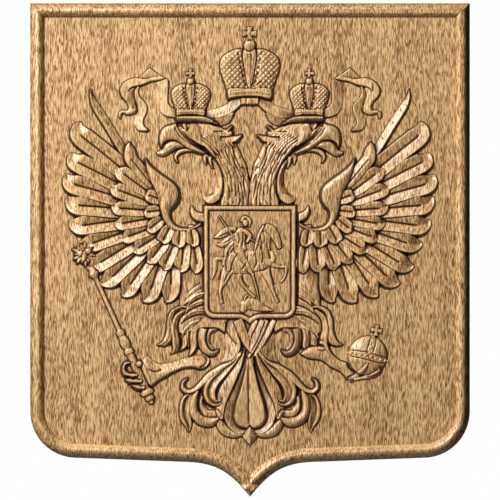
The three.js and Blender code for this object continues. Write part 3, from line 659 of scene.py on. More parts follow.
def crown(centre_x, foot, half, cell, lift):
    def placed(outline, hand=1):
        return [(centre_x + hand * x * half, foot + y * half) for x, y in outline]

    def crossed(x, y, way):
        return np.abs(np.sin((x - centre_x + way * (y - foot)) * math.pi / cell)) * cell / 4.4

    def lattice(x, y, inset):
        cut = np.exp(-(np.minimum(crossed(x, y, -1), crossed(x, y, 1)) / LATTICE_CUT) ** 2)
        bulge = rounded(inset, 0.36 * half)
        return lift - 4.4 + 4.4 * bulge - LATTICE_DEPTH * cut * smooth_step(inset, 0.4, 1.4)

    cross(*placed([(0, CROSS_PLACE)])[0], *(size * half for size in CROSS_SIZES), lift - 3.4)
    for hand in (-1, 1):
        carve_shape(placed(LOBE, hand), lattice, set_in=0.8)
    carve_shape(placed(GORE), domed(lift - 1.9, 1.2, 0.16 * half), set_in=0.8)
    for line in GORE_PLEATS:
        score(placed(line), 0.9, 0.6)
    for hand in (-1, 1):
        score(placed(LOBE_SEAM, hand), 1.1)
    carve_shape(placed(BAND), domed(lift - 1.4, 1.6, 0.1 * half), set_in=0.8)
    for y in (0.1, 0.24):
        score(placed([(x, y + 0.05 * (1 - 2 * x * x)) for x in (-0.7, 0, 0.7)]), 0.7, 0.5)
    collar = [(*place, 0.05 * half) for place in placed([(-0.14, ORB_COLLAR), (0.14, ORB_COLLAR)])]
    carve(collar, swelled(lift - 2.6, 0.3), set_in=0.6, wall=5)
    carve_round(placed([(0, ORB_PLACE)])[0], ORB_SIZE * half, ball(lift - 4, 3.6), set_in=0.8)
    score(placed([(x, ORB_LINE) for x in (-0.16, 0, 0.16)]), 1.6, 0.6)


HEAD_CROWN = (-59.3, 134, 19.6)
GREAT_CROWN = (-0.3, 151.4, 30)
crown(*HEAD_CROWN, LATTICE_SMALL, 8.0)
mirror_forms = False
carve_shape([(-9, 145.6), (-9, 152), (9, 152), (9, 145.6)], domed(5.2, 1, 2), straight=True)
for x in (-4, 4):
    score([(x * 0.6, 152), (x, 145.4)], 0.7)
crown(*GREAT_CROWN, LATTICE_LARGE, 8.6)
mirror_forms = True

# The thighs: plumes of the same oak that sweep off the body and hang in curls over the legs,
# each with a fine line down it.
carve([(-46, -56, 10), (-60, -68, 13), (-66, -84, 6)], swelled(6.6, 2.8))
PLUMES = [
    (6.6, -1.4, [(-60, -58, 1.2), (-69, -57.6, 1.6), (-76.6, -62, 2.4), (-79.6, -71, 3), (-79.6, -81, 3.6),
                 (-81, -88.6, 4.4), (-85.6, -93.6, 3), (-92.2, -95.3, 0.3)]),
    (6.0, -2.0, [(-64, -61, 2), (-72, -67, 3), (-75, -78, 3.6), (-73.4, -90, 4.2), (-73.6, -99, 3.4),
                 (-78, -104.5, 0.3)]),
    (7.2, 1.5, [(-60, -76, 3), (-64.4, -86, 3.2), (-65.6, -95, 2.6), (-69.4, -99.8, 0.3)]),
    (6.0, -1.4, [(-58, -74, 3), (-61, -84, 2.6), (-61, -97, 0.4)]),
    (7.4, 1.5, [(-54, -72, 3.4), (-57, -86, 3.6), (-56.6, -97, 3.2), (-61.2, -106.4, 0.3)]),
    (6.8, -1.4, [(-45, -72, 3), (-56, -74, 3.4), (-65, -82, 2.4), (-68, -88, 0.3)]),
    (6.6, -1.4, [(-42, -62, 3), (-54, -62.6, 3.4), (-63, -67, 2.6), (-69.6, -74.6, 0.3)]),
    (6.6, -1.4, [(-43, -52, 3), (-52, -53.6, 3.2), (-60, -58, 2.6), (-64.6, -64.4, 0.3)]),
    (6.6, -1.4, [(-43, -44, 2.6), (-51, -46, 3), (-58, -50.6, 2.4), (-62, -57, 0.3)]),
]


def plume_section(lift, tilt):
    return lambda u, t, side, half: lift + tilt * u - 1.8 * u * u - 0.8 * np.exp(-(side / 0.7) ** 2)


for lift, tilt, line in PLUMES:
    carve(line, plume_section(lift, tilt), set_in=0.8)

# The tail: leaves and scrolls that spring crossed from below the escutcheon, cut from the
# ground up, the lowest first. Some are hollowed along one side.
HOLLOW_RIM = -0.5


def leaf(lift, tilt=0.0, swell=0.0, hollow=0.0):
    def section(u, t, side, half):
        rim = smooth_step(u, HOLLOW_RIM - 0.1, HOLLOW_RIM + 0.4)
        trough = rim * (1 - 0.8 * smooth_step(u, 0.15, 1))
        return lift + tilt * u - swell * u * u - hollow * trough * smooth_step(t, 0, 0.2)
    return section


LOW_LEAVES = [
    ([(-31, -168, 1.5), (-29.5, -174, 4), (-25, -180, 4.8), (-17, -183.6, 4.2), (-9, -183.4, 3),
      (-2, -179.5, 0.5)], leaf(5.6, swell=2)),
    ([(-57.5, -143, 0.8), (-63.5, -149, 3.8), (-65.4, -158, 4.9), (-64.4, -167, 5.2), (-61.8, -174, 3.6),
      (-60.8, -181, 0.3)], leaf(5.6, swell=0.6, hollow=3)),
    ([(-48, -146, 1.2), (-48, -156, 2.4), (-43, -163, 3.6), (-36, -163.6, 3.2), (-31, -165, 2.6),
      (-29, -169.4, 0.5)], leaf(4.4, swell=0.4)),
    ([(-52, -141, 2), (-55.5, -148, 4), (-56.6, -156, 4.4), (-54.6, -164.6, 4.8), (-48, -170.6, 5),
      (-40, -172, 4.9), (-33.6, -169.6, 3), (-30.4, -167, 1)], leaf(7.4, swell=3.2)),
    ([(-3, -98, 1.6), (-6.4, -114, 3.2), (-11, -133, 6.8), (-13.4, -150, 11), (-13.6, -165, 11.8),
      (-10, -176, 8.4), (-2, -181, 1.4)], dished(6.6, 4.2)),
]
for line, section in LOW_LEAVES:
    carve(line, section, set_in=0.9)
PANEL = [
    (0, -103), (-2.4, -112), (-4.2, -120), (-6.4, -130), (-9, -140.6), (-12, -150), (-14.2, -160),
    (-14.4, -168), (-11, -174), (-5, -177), (0, -178),
]
mirror_forms = False
carve_shape(PANEL + [(-x, y) for x, y in PANEL[-2:0:-1]], lambda x, y, inset: 6.0 + 0.2 * np.abs(x + 1),
            set_in=0.9, wall=1.6)
mirror_forms = True
HIGH_LEAVES = [
    ([(-6.6, -103, 1), (-11, -115, 2.6), (-18, -128, 4.4), (-24.5, -140, 5.6), (-28.5, -152, 4.6),
      (-30, -162, 4), (-29, -169, 1.5)], leaf(7.0, tilt=1.3, swell=0.4)),
    ([(-9, -103.6, 0.8), (-18, -112.6, 2.8), (-27, -121.6, 4.6), (-36, -131, 5.4), (-40.4, -140, 5.8),
      (-39, -148.6, 5), (-34, -153, 3), (-29, -151.4, 1.8), (-27, -147, 0.3)],
     leaf(8.6, swell=0.6, hollow=3)),
    ([(-9, -101.6, 0.8), (-18, -110.6, 1.8), (-30, -118, 2.6), (-41, -126, 3.2), (-49, -134, 2.6),
      (-56, -139.8, 2), (-62.6, -141.2, 1.9), (-66.8, -137.4, 1.8), (-66, -131.8, 1.2),
      (-62.4, -128.6, 0.3)], leaf(7.6, tilt=0.9, swell=0.7)),
    ([(-33, -79, 2), (-40, -81.6, 2.6), (-42.6, -88, 2.6), (-41.6, -95, 2.6), (-37, -100, 2)],
     leaf(3.6, swell=1)),
    ([(-47, -78.5, 4), (-48.6, -86, 3.6), (-48.4, -92, 3.6), (-45.8, -98.4, 3.4), (-41, -103, 2.8),
      (-36, -103.8, 2.2), (-31.2, -100.4, 0.4)], leaf(7.0, tilt=2, swell=0.8)),
]
for line, section in HIGH_LEAVES:
    carve(line, section, set_in=0.9)
HIP = [
    (-64, -83), (-57, -80), (-48, -77.8), (-32, -77.8), (-24, -82), (-20, -78), (-20, -66), (-44, -66),
    (-54, -74),
]
carve_shape(HIP, lambda x, y, inset: 4.4 - 0.12 * (y + 66), set_in=0.3)
SIDE_CURL = [
    (-23, -70), (-14, -70), (-13.4, -80), (-11.6, -87.6), (-9.8, -93), (-9.8, -98), (-12.4, -104),
    (-17.4, -109.8), (-23.6, -112.6), (-30.4, -112.2), (-27, -108), (-25, -100), (-25.6, -90), (-24.4, -80),
]


def side_curl_surface(x, y, inset):
    return 0.4 + 0.4 * (x + 26) + 0.004 * np.maximum(0, -90 - y) ** 2


carve_shape(SIDE_CURL, side_curl_surface, set_in=0.7)
for line, depth in (
    ([(-47, -149), (-46.4, -155), (-43, -159.4), (-36, -159), (-31, -160.6), (-28.4, -164.6), (-28, -169)],
     1.6),
    ([(-60.5, -128.5), (-58.6, -130), (-59, -132), (-57, -133.4)], 0.9),
    ([(-24, -71), (-23.4, -81), (-18.6, -88.6), (-12.4, -95.4)], 1.4),
    ([(-39.6, -87), (-37.6, -82.4), (-34, -80.4), (-31, -79.6)], 1.0),
    ([(-40.4, -90), (-39.6, -94.6), (-37.6, -97.6), (-34.6, -98.8)], 1.0),
):
    score(line, depth)

mirror_forms = False
carve([(0, -66, 15), (0, -82, 12), (0, -95, 6), (0, -108, 1)], swelled(5.4, 1.6))
for line, lift in (
    ([(24, -70, 2.6), (17, -84, 2.8), (10, -96, 2.6), (4, -106, 1)], 6.6),
    ([(16, -70, 2.6), (10, -84, 3), (3, -98, 2.6), (-2, -108, 0.8)], 7.2),
    ([(-12, -70, 4.6), (-8.4, -80, 4.6), (-3, -93, 3.4), (0.4, -103, 0.6)], 7.6),
    ([(12.5, -70, 2.4), (8, -80, 3.2), (3, -92, 3.2), (0, -102.5, 0.4)], 8.0),
    ([(6, -70, 2.2), (3.4, -76, 2.6), (0, -84, 2), (0, -90, 0.3)], 8.2),
):
    carve(line, tilted(lift, 0.9, 0.3), set_in=0.9)
score([(-1.4, -110), (-1.6, -135), (-1.4, -155), (-1, -176)], 1.0, 0.8)


def end_leaf_section(u, t, side, half):
    return 6.6 - 3.4 * np.abs(u) - 1.4 * np.abs(2 * t - 1)


carve([(0, -175, 0.4), (0, -186, 7.2), (0, -196, 0.3)], end_leaf_section, set_in=0.8)

# The viewer's left foot grips a turned sceptre, with a knop of small spread wings on its end.
# It is all cut in the same oak, and the claws close over the shaft last.
LEFT_LEG = [
    (-109, -109), (-104, -106), (-100.7, -107), (-96.7, -110.7), (-88.7, -113.7), (-75, -111), (-66, -108),
    (-57, -105.4), (-49, -105), (-43, -106.4), (-40.3, -111), (-42, -114.7), (-45, -117), (-50, -118.7),
    (-55, -117.4), (-66, -117.7), (-72, -120), (-78, -122.7), (-83, -126), (-88.7, -129), (-94, -132.8),
    (-98.6, -136), (-103, -131), (-107, -122), (-109, -115),
]
LEFT_LEG_TOP = [(-109, -109), (-104, -106), (-97, -111), (-89, -114), (-75, -111), (-57, -105), (-43, -106)]


def left_leg_surface(x, y, inset):
    down = np.interp(x, *zip(*LEFT_LEG_TOP)) - y
    turned_under = 1.6 * (1 - np.minimum(inset / 3, 1)) ** 2 * smooth_step(down, 2, 8)
    return 1.0 + 6.4 * smooth_step(down, -3, 11) - turned_under


carve_shape(LEFT_LEG, left_leg_surface, set_in=0.7)
score([(-101, -119), (-97, -121.4), (-92, -121.2), (-88, -119)], 1.6, 1.0)
score([(-47.6, -104), (-44, -107), (-43.2, -111), (-45, -115), (-50, -118)], 2.2, 1.3)
score([(-106, -112), (-101, -122), (-97, -131)], 0.8, 1.2)
SCEPTRE_TURNING = [
    (0, 2), (3, 3.4), (7, 5.4), (10, 4.6), (12.5, 2.6), (14, 2.2), (69, 2.3), (70, 4.4), (74.6, 4.4),
    (75.6, 3.4), (80, 4.8), (84, 5.4), (88, 4.4), (90, 3.4), (91, 5), (94.5, 5), (95.5, 3.8), (134, 4.6),
    (136, 7), (139.5, 7), (141, 4), (143, 5), (145, 5), (147, 2.6), (149, 2.6), (150.5, 1),
]
SCEPTRE_HEAD = np.array((-159, -17))
SCEPTRE_FOOT = np.array((-97.5, -154))


def turned_section(u, t, side, half):
    return 3.2 + 0.75 * half * np.sqrt(np.clip(1 - u * u, 0, 1))


shaft = SCEPTRE_FOOT - SCEPTRE_HEAD
reach = np.linalg.norm(shaft)
sceptre = [(*(SCEPTRE_HEAD + shaft * d / reach), w) for d, w in SCEPTRE_TURNING]
carve(sceptre, turned_section, straight=True, set_in=0.8)
KNOP = np.array((-165.5, -4))
KNOP_BLADES = 15
KNOP_REACH = 10.8
for k in range(KNOP_BLADES):
    a = 2 * math.pi * (k + 0.5) / KNOP_BLADES
    out = np.array((math.cos(a), math.sin(a))) * (KNOP_REACH + 1.8 * math.sin(2.4 * k))
    blade = [(*(KNOP + 0.2 * out), 0.8), (*(KNOP + 0.62 * out), 1.9), (*(KNOP + out), 0.3)]
    carve(blade, tilted(6.6, 0.8, 0.5), set_in=0.7)
for x, y, half in ((-169.6, -3.6, 3), (-161.6, -1.2, 3.2)):
    carve_round((x, y), half, ball(6.6, 1.8), set_in=0.8)
carve([(-166.5, -11, 2.4), (-165.5, -6, 3), (-165, -1, 1.4)], swelled(8.4, 2))
carve_round((-110.6, -114), 3.5, ball(6, 3.4), set_in=1.0)
for line in (
    [(-119.4, -112.4, 1.3), (-124, -113.4, 2), (-126.2, -118, 2), (-124.6, -123.2, 2.7),
     (-120.6, -124.8, 2.1), (-117, -125.4, 2.7), (-114.8, -125.2, 2.1), (-112.4, -124.8, 2.4)],
    [(-124, -129.4, 1.2), (-119.6, -130.6, 2.9), (-116.4, -131.2, 2.1), (-113.2, -131, 2.9),
     (-110.6, -131.4, 2.1), (-107.6, -131, 2.7)],
    [(-117.6, -135.4, 1.2), (-111.6, -137.2, 2.9), (-108.6, -137.8, 2.1), (-105, -137.4, 2.9)],
):
    carve(line, swelled(9.2, 3.4), set_in=1.0)

# The viewer's right foot holds the orb from below: a ball with a beaded band and strap, and a
# small cross on top. The bands and claws are laid on the ball's round.
ORB = (118.3, -106)
ORB_RADIUS = 20.6
ORB_LIFT = 0.6
ORB_RISE = 8.2
RIGHT_LEG = [
    (50, -104), (56, -98), (66, -95.6), (76, -97), (81, -100.7), (85, -106), (90, -110), (97, -112.6),
    (99, -117), (104, -122), (108, -126), (104, -131.6), (101, -132.2), (98, -130), (95, -127), (90, -122),
    (85, -119.5), (80, -117), (74, -112), (68, -110), (58, -108.7),
]
carve_shape(RIGHT_LEG, domed(2.8, 4.6, 6.4), set_in=0.8)
score([(97, -113), (99.6, -118.6), (105, -123)], 1.0, 0.9)
for line in (
    [(68, -98, 2), (73, -99, 2.4), (77.6, -97, 0.3)],
    [(70, -92, 2), (75, -94, 2.2), (78, -100, 1.6), (82, -104.6, 0.3)],
):
    carve(line, swelled(7.4, 1.4))


def globe(x, y, rise=0.0):
    off = np.hypot(x - ORB[0], y - ORB[1]) / ORB_RADIUS
    return ORB_LIFT + rise + ORB_RISE * np.sqrt(np.clip(1 - off * off, 0, 1))


def on_globe(points, rise, swell, **options):
    carve(points, tilted(0, 0, swell), base=lambda x, y: globe(x, y, rise), **options)


cross(126.6, -80.4, 6.2, 3, 1, 5.4, turn=-0.17)
carve_round(ORB, ORB_RADIUS, lambda r, x, y: globe(x, y), set_in=1.4, wall=3)
ORB_BAND = [
    (98, -102.8, 2.8), (107, -104, 3.2), (117.4, -106, 3.6), (128, -109.2, 3.4), (137.6, -111.4, 2.8),
]
ORB_STRAP = [(124, -86.6, 2.8), (122, -95, 3.2), (119.6, -102.6, 3.2)]
for line, out_x, out_y in ((ORB_STRAP, 1, 0), (ORB_BAND, 0, 1)):
    on_globe(line, -0.7, -1.1, set_in=1.4, wall=4)
    for hand in (-1, 1):
        score([(x + hand * half * out_x, y + hand * half * out_y) for x, y, half in line], 1.3, 0.7)
score([(131, -88.6), (136.4, -96), (138.6, -105), (137, -114), (133, -120)], 3.0, 1.5)
CLAW = [(98, -129, 2.6), (106, -126.6, 3.6), (112, -121, 2.8), (116, -116, 2), (118.3, -111.6, 0.3)]
on_globe(CLAW, 2.0, 1.6, set_in=1.2)
LONG_CLAW = [
    (104, -130, 1.6), (112, -128, 1.8), (119, -127, 2), (125, -124.6, 2.6), (129.4, -121.4, 2.6),
    (128.4, -117.2, 0.3),
]
on_globe(LONG_CLAW, 3, 1.4, set_in=1.2)

# The escutcheon: a small shield on the breast with a half-round frame, standing well out. Its
# field is flat and is cut back a little to leave the frame and the rider.
ESCUTCHEON_HALF = 46.2
ESCUTCHEON_TOP = 44.5
ESCUTCHEON_FOOT = -68.5
ESCUTCHEON_POINT = -74.5
ESCUTCHEON_CORNER = 11.5
ESCUTCHEON_LIFT = 7.4
FRAME_HALF = 2.5
FRAME_RISE = 2.2


def escutcheon_side():
    corner = ESCUTCHEON_CORNER * (1 - QUARTER_TURN)
    inner = ESCUTCHEON_HALF - ESCUTCHEON_CORNER
    turned = ESCUTCHEON_FOOT + ESCUTCHEON_CORNER
    turn = bezier((inner, ESCUTCHEON_FOOT), (ESCUTCHEON_HALF - corner, ESCUTCHEON_FOOT),
                  (ESCUTCHEON_HALF, ESCUTCHEON_FOOT + corner), (ESCUTCHEON_HALF, turned), 10)
    point = bezier((0, ESCUTCHEON_POINT), (4, ESCUTCHEON_POINT + 4), (7, ESCUTCHEON_FOOT),
                   (14, ESCUTCHEON_FOOT), 8)
    return mirrored_outline(np.vstack([point, turn, [(ESCUTCHEON_HALF, ESCUTCHEON_TOP)]]))


rows = span(up_y, ESCUTCHEON_POINT - ROUND_MARGIN, ESCUTCHEON_TOP + ROUND_MARGIN)
columns = span(across_x, -ESCUTCHEON_HALF - ROUND_MARGIN, ESCUTCHEON_HALF + ROUND_MARGIN)
x, y = np.meshgrid(across_x[columns], up_y[rows])
inset = inside_by(escutcheon_side(), x, y)
bow = np.sqrt(np.clip(1 - ((inset - FRAME_HALF) / FRAME_HALF) ** 2, 0, 1))
plate = ESCUTCHEON_LIFT - 0.6 * (inset < 0.5) + FRAME_RISE * bow - wall_fall(2.6, -inset)
plate -= 0.7 * np.exp(-((inset - 2 * FRAME_HALF - 0.4) / 0.7) ** 2)
lay((rows, columns), plate, -inset, SET_IN)
score([(47.6, 45), (47.7, 20), (47.7, -20), (47.5, -58)], 3.4, 1.0)

# The rider on the escutcheon, in low relief: a man on a pacing horse, a cloak blown back,
# a spear, and a beast's head below. The face is a plain one.
LOW = ESCUTCHEON_LIFT + 1.4


def figure(points, lift):
    carve(points, swelled(LOW + lift, 1.5), set_in=0.8, wall=2.2)


for line, lift in (
    ([(-27, -9, 2), (-34, -9.6, 2.6), (-34.6, -19, 2.6), (-38, -30, 0.4)], 0.1),
    ([(-11, -24, 4), (-9, -32, 2.6), (-2, -40.6, 1.5), (5, -47.6, 1.6)], 0.0),
    ([(-22, -18, 7), (-26, -31, 3.8), (-29.6, -40, 2), (-29, -48, 1.6), (-28, -53.6, 2.2)], 0.4),
    ([(22, -14, 4), (30, -16.6, 2.2), (36, -17.4, 1.9), (35.6, -25, 1.5), (31, -32.6, 1.6)], 0.2),
    ([(15, -20, 5), (20, -32, 3), (24, -43, 1.7), (28, -52.6, 1.8)], 0.3),
    ([(-27, -10, 5), (-20, -12, 10), (-8, -13, 11), (6, -11, 10.6), (18, -9, 9), (24, -12, 5)], 0.5),
    ([(12, -8, 9), (14, 6, 7), (16, 17, 5.4), (19.6, 25, 2.6)], 0.8),
    ([(15, 23, 4.6), (22, 19, 4.8), (27, 10, 3.8), (30, 1.4, 2.2)], 1.1),
    ([(14, 25, 1.2), (9.6, 16, 2), (6, 4, 1.6), (4, -4, 0.4)], 0.9),
):
    figure(line, lift)
score([(24.4, 17), (26, 15.6)], 0.7, 0.7)
for line, lift in (
    ([(-14, 21, 2.6), (-22, 19.6, 4), (-30, 14.4, 3.4), (-36.4, 12, 0.6)], 0.7),
    ([(-14, 15, 3), (-22, 9, 3.8), (-28, 5, 2.8), (-35, 6, 0.4)], 0.4),
    ([(-15, 8, 3), (-22, 0, 3.4), (-25, -7, 1.2)], 0.7),
    ([(-9, -1, 6.4), (-11, 8, 5.6), (-9.6, 16, 5.4), (-8, 22, 3)], 1.0),
    ([(-11, 0, 4.6), (-8, -7, 4), (-3, -14, 2.4), (0.4, -22, 1.8), (4, -24.6, 1)], 1.3),
    ([(-6, 20, 2.4), (0, 14, 2.4), (-3, 7.4, 1.8)], 1.3),
    ([(1.4, 10.4, 0.8), (10, 5.6, 0.7), (20, 0.6, 0.7)], 1.5),
    ([(-8, -62, 3), (-4, -55, 5.6), (4, -54.6, 6), (14, -58.6, 3.4), (24, -60.6, 0.6)], 0.5),
    ([(-6, -52, 1), (-4, -46.6, 1.4), (-0.6, -44, 0.3)], 0.6),
):
    figure(line, lift)
for line in (
    [(-20, -4), (-24, -12), (-23, -20)], [(-12, -3), (-17, -12), (-19, -20)],
    [(-2, -5), (-3, -12), (-8, -20)], [(5, -3), (7, -12), (4, -19)], [(11, 4), (13, -6), (12, -14)],
    [(16, 8), (19, -2), (20, -10)], [(10, 14), (12, 6), (11, 0)], [(13, 20), (14.6, 12), (14, 6)],
    [(-16, 19), (-24, 16), (-31, 13)], [(-16, 13), (-23, 8), (-29, 6)], [(-17, 5), (-21, -1), (-23, -5)],
    [(-12, 18), (-10.6, 10), (-13, 2)], [(-7, 18), (-6.6, 10), (-8, 2)],
    [(-26, -15), (-29, -23), (-31, -31)], [(20, -16), (22, -26), (25, -36)],
    [(-17, -18), (-22, -25), (-26, -33)], [(-8, -26), (-5, -33), (0, -38)],
    [(23, -12), (29, -15), (33, -16)],
):
    score(line, 1.2, 0.75)
SPEAR = [(-31, 34, 0.5), (-16, 12, 0.8), (0, -18, 0.8), (7, -40, 0.8), (9, -50, 0.3)]
carve(SPEAR, swelled(LOW + 0.9, 0.2), set_in=0.5, wall=2.2)
HEAD_X, HEAD_Y = -4.2, 27.4
COWL = [(-4.6, 1, 1.8), (-1, 5.4, 1.8), (4.4, 1.6, 1.8), (3.4, -4.4, 0.8)]
FACE = [(0, 2.6, 2.4), (0, 0, 3.2), (0, -3.4, 1.8)]
NOSE = [(0, 1.2, 0.4), (0, -0.8, 0.7)]


def on_head(points):
    return [(HEAD_X + x, HEAD_Y + y, *half) for x, y, *half in points]


figure(on_head(COWL), 0.9)
carve(on_head(FACE), swelled(LOW + 1.5, 1.2), set_in=0.5)
carve(on_head(NOSE), swelled(LOW + 1.85, 0.3), set_in=0.1)
for hand in (-1, 1):
    score(on_head([(hand * 0.9, 0.9), (hand * 2, 0.9)]), 0.35, 0.5)
score(on_head([(-0.9, -2.1), (0.9, -2.1)]), 0.3, 0.45)
score([(-2, -58), (1.6, -55.6), (4, -58), (1.4, -60), (-1.6, -58.4)], 0.6, 0.8)

# The relief as one closed solid: the ground's surface, soft from the last light sanding, over
# a flat foot inside the board. It is thinned where it is flat and then joined to the board.
SANDING = 0.3
RELIEF_FACES = 168000
ROOT = 3.0
INSIDE_BOX = 0.05
FLUSH = -0.3
NEARLY_FLUSH = -0.29
# How dark the painted shade goes in narrow cuts, in broad hollows beside higher forms and on steep walls.
NARROW_SHADE = 0.95
BROAD_SHADE = 0.62
STEEP_SHADE = 0.92


def sanded(heights, radius):
    reach = max(1, int(radius * 3 / GRID))
    taps = np.exp(-((np.arange(-reach, reach + 1) * GRID / radius) ** 2) / 2)
    taps /= taps.sum()
    padded = np.pad(heights, reach, mode="edge")
    rows = sum(tap * padded[i:i + heights.shape[0], :] for i, tap in enumerate(taps))
    return sum(tap * rows[:, i:i + heights.shape[1]] for i, tap in enumerate(taps))


def solid_of(heights):
    rows, columns = heights.shape
    x, y = np.meshgrid(across_x, up_y)
    top = np.stack([x, -(FIELD + heights), y], axis=-1).reshape(-1, 3)
    index = np.arange(rows * columns).reshape(rows, columns)
    quads = np.stack([index[:-1, :-1], index[:-1, 1:], index[1:, 1:], index[1:, :-1]], axis=-1)
    border = np.concatenate([index[0, :-1], index[:-1, -1], index[-1, :0:-1], index[:0:-1, 0]])
    foot = top[border].copy()
    foot[:, 1] = -(FIELD - ROOT)
    below = len(top) + np.arange(len(border))
    walls = np.stack([border, below, np.roll(below, -1), np.roll(border, -1)], axis=-1)
    centre = np.array([[0, -(FIELD - ROOT), 0]])
    middle = len(top) + len(border)
    fan = np.stack([np.full(len(border), middle), np.roll(below, -1), below], axis=-1)
    points = np.vstack([top, foot, centre]) / 1000
    corners = np.concatenate([quads.ravel(), walls.ravel(), fan.ravel()])
    sizes = np.concatenate([np.full(quads.size // 4 + len(walls), 4), np.full(len(fan), 3)])
    starts = np.concatenate([[0], np.cumsum(sizes)[:-1]])
    mesh = bpy.data.meshes.new("relief")
    mesh.vertices.add(len(points))
    mesh.vertices.foreach_set("co", points.ravel().astype(np.float32))
    mesh.loops.add(len(corners))
    mesh.loops.foreach_set("vertex_index", corners.astype(np.int32))
    mesh.polygons.add(len(sizes))
    mesh.polygons.foreach_set("loop_start", starts.astype(np.int32))
    mesh.update(calc_edges=True)
    return in_scene("relief", mesh)


def made_plain(piece):
    evaluated = piece.evaluated_get(bpy.context.evaluated_depsgraph_get())
    shaped = bpy.data.meshes.new_from_object(evaluated)
    piece.modifiers.clear()
    piece.data = shaped
    return piece


# Painted shade: how dark each point is painted, from how deep it lies in a cut or hollow and how steep its
# wall is.
def painted_recess_shade():
    narrow = smooth_step(sanded(ground, 0.9) - ground, 0.1, 0.42)
    broad = smooth_step(sanded(ground, 2.2) - ground, 0.0, 1.1)
    slope_y, slope_x = np.gradient(ground, GRID)
    steep_shade = smooth_step(np.hypot(slope_x, slope_y), 1.0, 1.9)
    return 1 - (1 - NARROW_SHADE * narrow) * (1 - BROAD_SHADE * broad) * (1 - STEEP_SHADE * steep_shade)


# Painted highlight: how much each point is lightened, from how far it stands above its surroundings.
def painted_crest_highlight():
    return smooth_step(ground - sanded(ground, 1.6), 0.15, 0.7)


def read_at(values, x, y):
    column = np.clip((x - across_x[0]) / GRID, 0, len(across_x) - 1.001)
    row = np.clip((y - up_y[0]) / GRID, 0, len(up_y) - 1.001)
    i, j = row.astype(int), column.astype(int)
    down, over = row - i, column - j
    upper = values[i + 1, j] * (1 - over) + values[i + 1, j + 1] * over
    lower = values[i, j] * (1 - over) + values[i, j + 1] * over
    return upper * down + lower * (1 - down)


def marked(piece, name, values, on_beads):
    mesh = piece.data
    points = np.empty(3 * len(mesh.vertices), np.float32)
    mesh.vertices.foreach_get("co", points)
    x, depth, y = points.reshape(-1, 3).T * 1000
    above = -depth - FIELD
    standing = smooth_step(above - read_at(np.maximum(ground, 0), x, y), 0.3, 0.9)
    value = read_at(values, x, y) * (1 - standing) + on_beads * standing
    inside = (np.abs(x) < across_x[-1]) & (y > up_y[0]) & (y < up_y[-1]) & (above > -0.5)
    mark = mesh.attributes.new(name, "FLOAT", "POINT")
    mark.data.foreach_set("value", np.where(inside, value, 0).astype(np.float32))


ground = np.clip(sanded(ground, SANDING), FLUSH, DEPTH - FIELD - INSIDE_BOX)
# Painted shade for the cuts, hollows and steep walls.
painted_shade_map = painted_recess_shade()
# Painted highlight for the crests.
crest_highlight_map = painted_crest_highlight()
ground[sanded(ground, 2.0) < NEARLY_FLUSH] = SUNK
relief = solid_of(ground)
thin = relief.modifiers.new("thin", "DECIMATE")
thin.ratio = RELIEF_FACES / (2 * ground.size)
made_plain(relief)

# The oak: light tan, oiled, with the grain upright. It has soft growth bands, fine pale and
# dark streaks and short dark pores. Shade is painted dark into every recess and onto steep
# walls, and a highlight is painted pale onto the crests.
TAN = (0.63, 0.332, 0.113, 1)
HONEY = (0.86, 0.56, 0.25, 1)
BROWN = (0.32, 0.145, 0.036, 1)
PORE = (0.17, 0.068, 0.012, 1)
# Colours of the painted shade: dark brown in broad hollows, near black in cuts and on steep walls.
SHADE_BROWN = (0.18, 0.068, 0.016, 1)
SHADE_BLACK = (0.022, 0.007, 0.0015, 1)
DRIFT_SCALE = 16
DRIFT = 0.012
BAND_SCALE = 60
STREAK_SCALE = 980
THREAD_SCALE = 1180
PORE_SCALE = 1280
# Reach of the occlusion that paints shade into the narrowest cuts.
RECESS_REACH = 0.0018
FRONT = (0, -1, 0)


# One socket of a node tree, or the tree alone. Its sums and products become Math nodes.
class Value:
    def __init__(self, tree, socket=None):
        self.tree = tree
        self.socket = socket

    def node(self, kind, settings=None, inputs=None, output=0):
        made = self.tree.nodes.new(kind)
        for name, value in (settings or {}).items():
            setattr(made, name, value)
        for name, value in (inputs or {}).items():
            if isinstance(value, Value):
                self.tree.links.new(value.socket, made.inputs[name])
            else:
                made.inputs[name].default_value = value
        return Value(self.tree, made.outputs[output]) if made.outputs else None

    def maths(self, operation, *others):
        return self.node("ShaderNodeMath", {"operation": operation}, dict(enumerate((self, *others))))

    def __add__(self, other):
        return self.maths("ADD", other)

    def __mul__(self, other):
        return self.maths("MULTIPLY", other)

    def __sub__(self, other):
        return self.maths("SUBTRACT", other)

    def __rsub__(self, other):
        return self.maths("MULTIPLY", -1).maths("ADD", other)

    __radd__ = __add__
    __rmul__ = __mul__


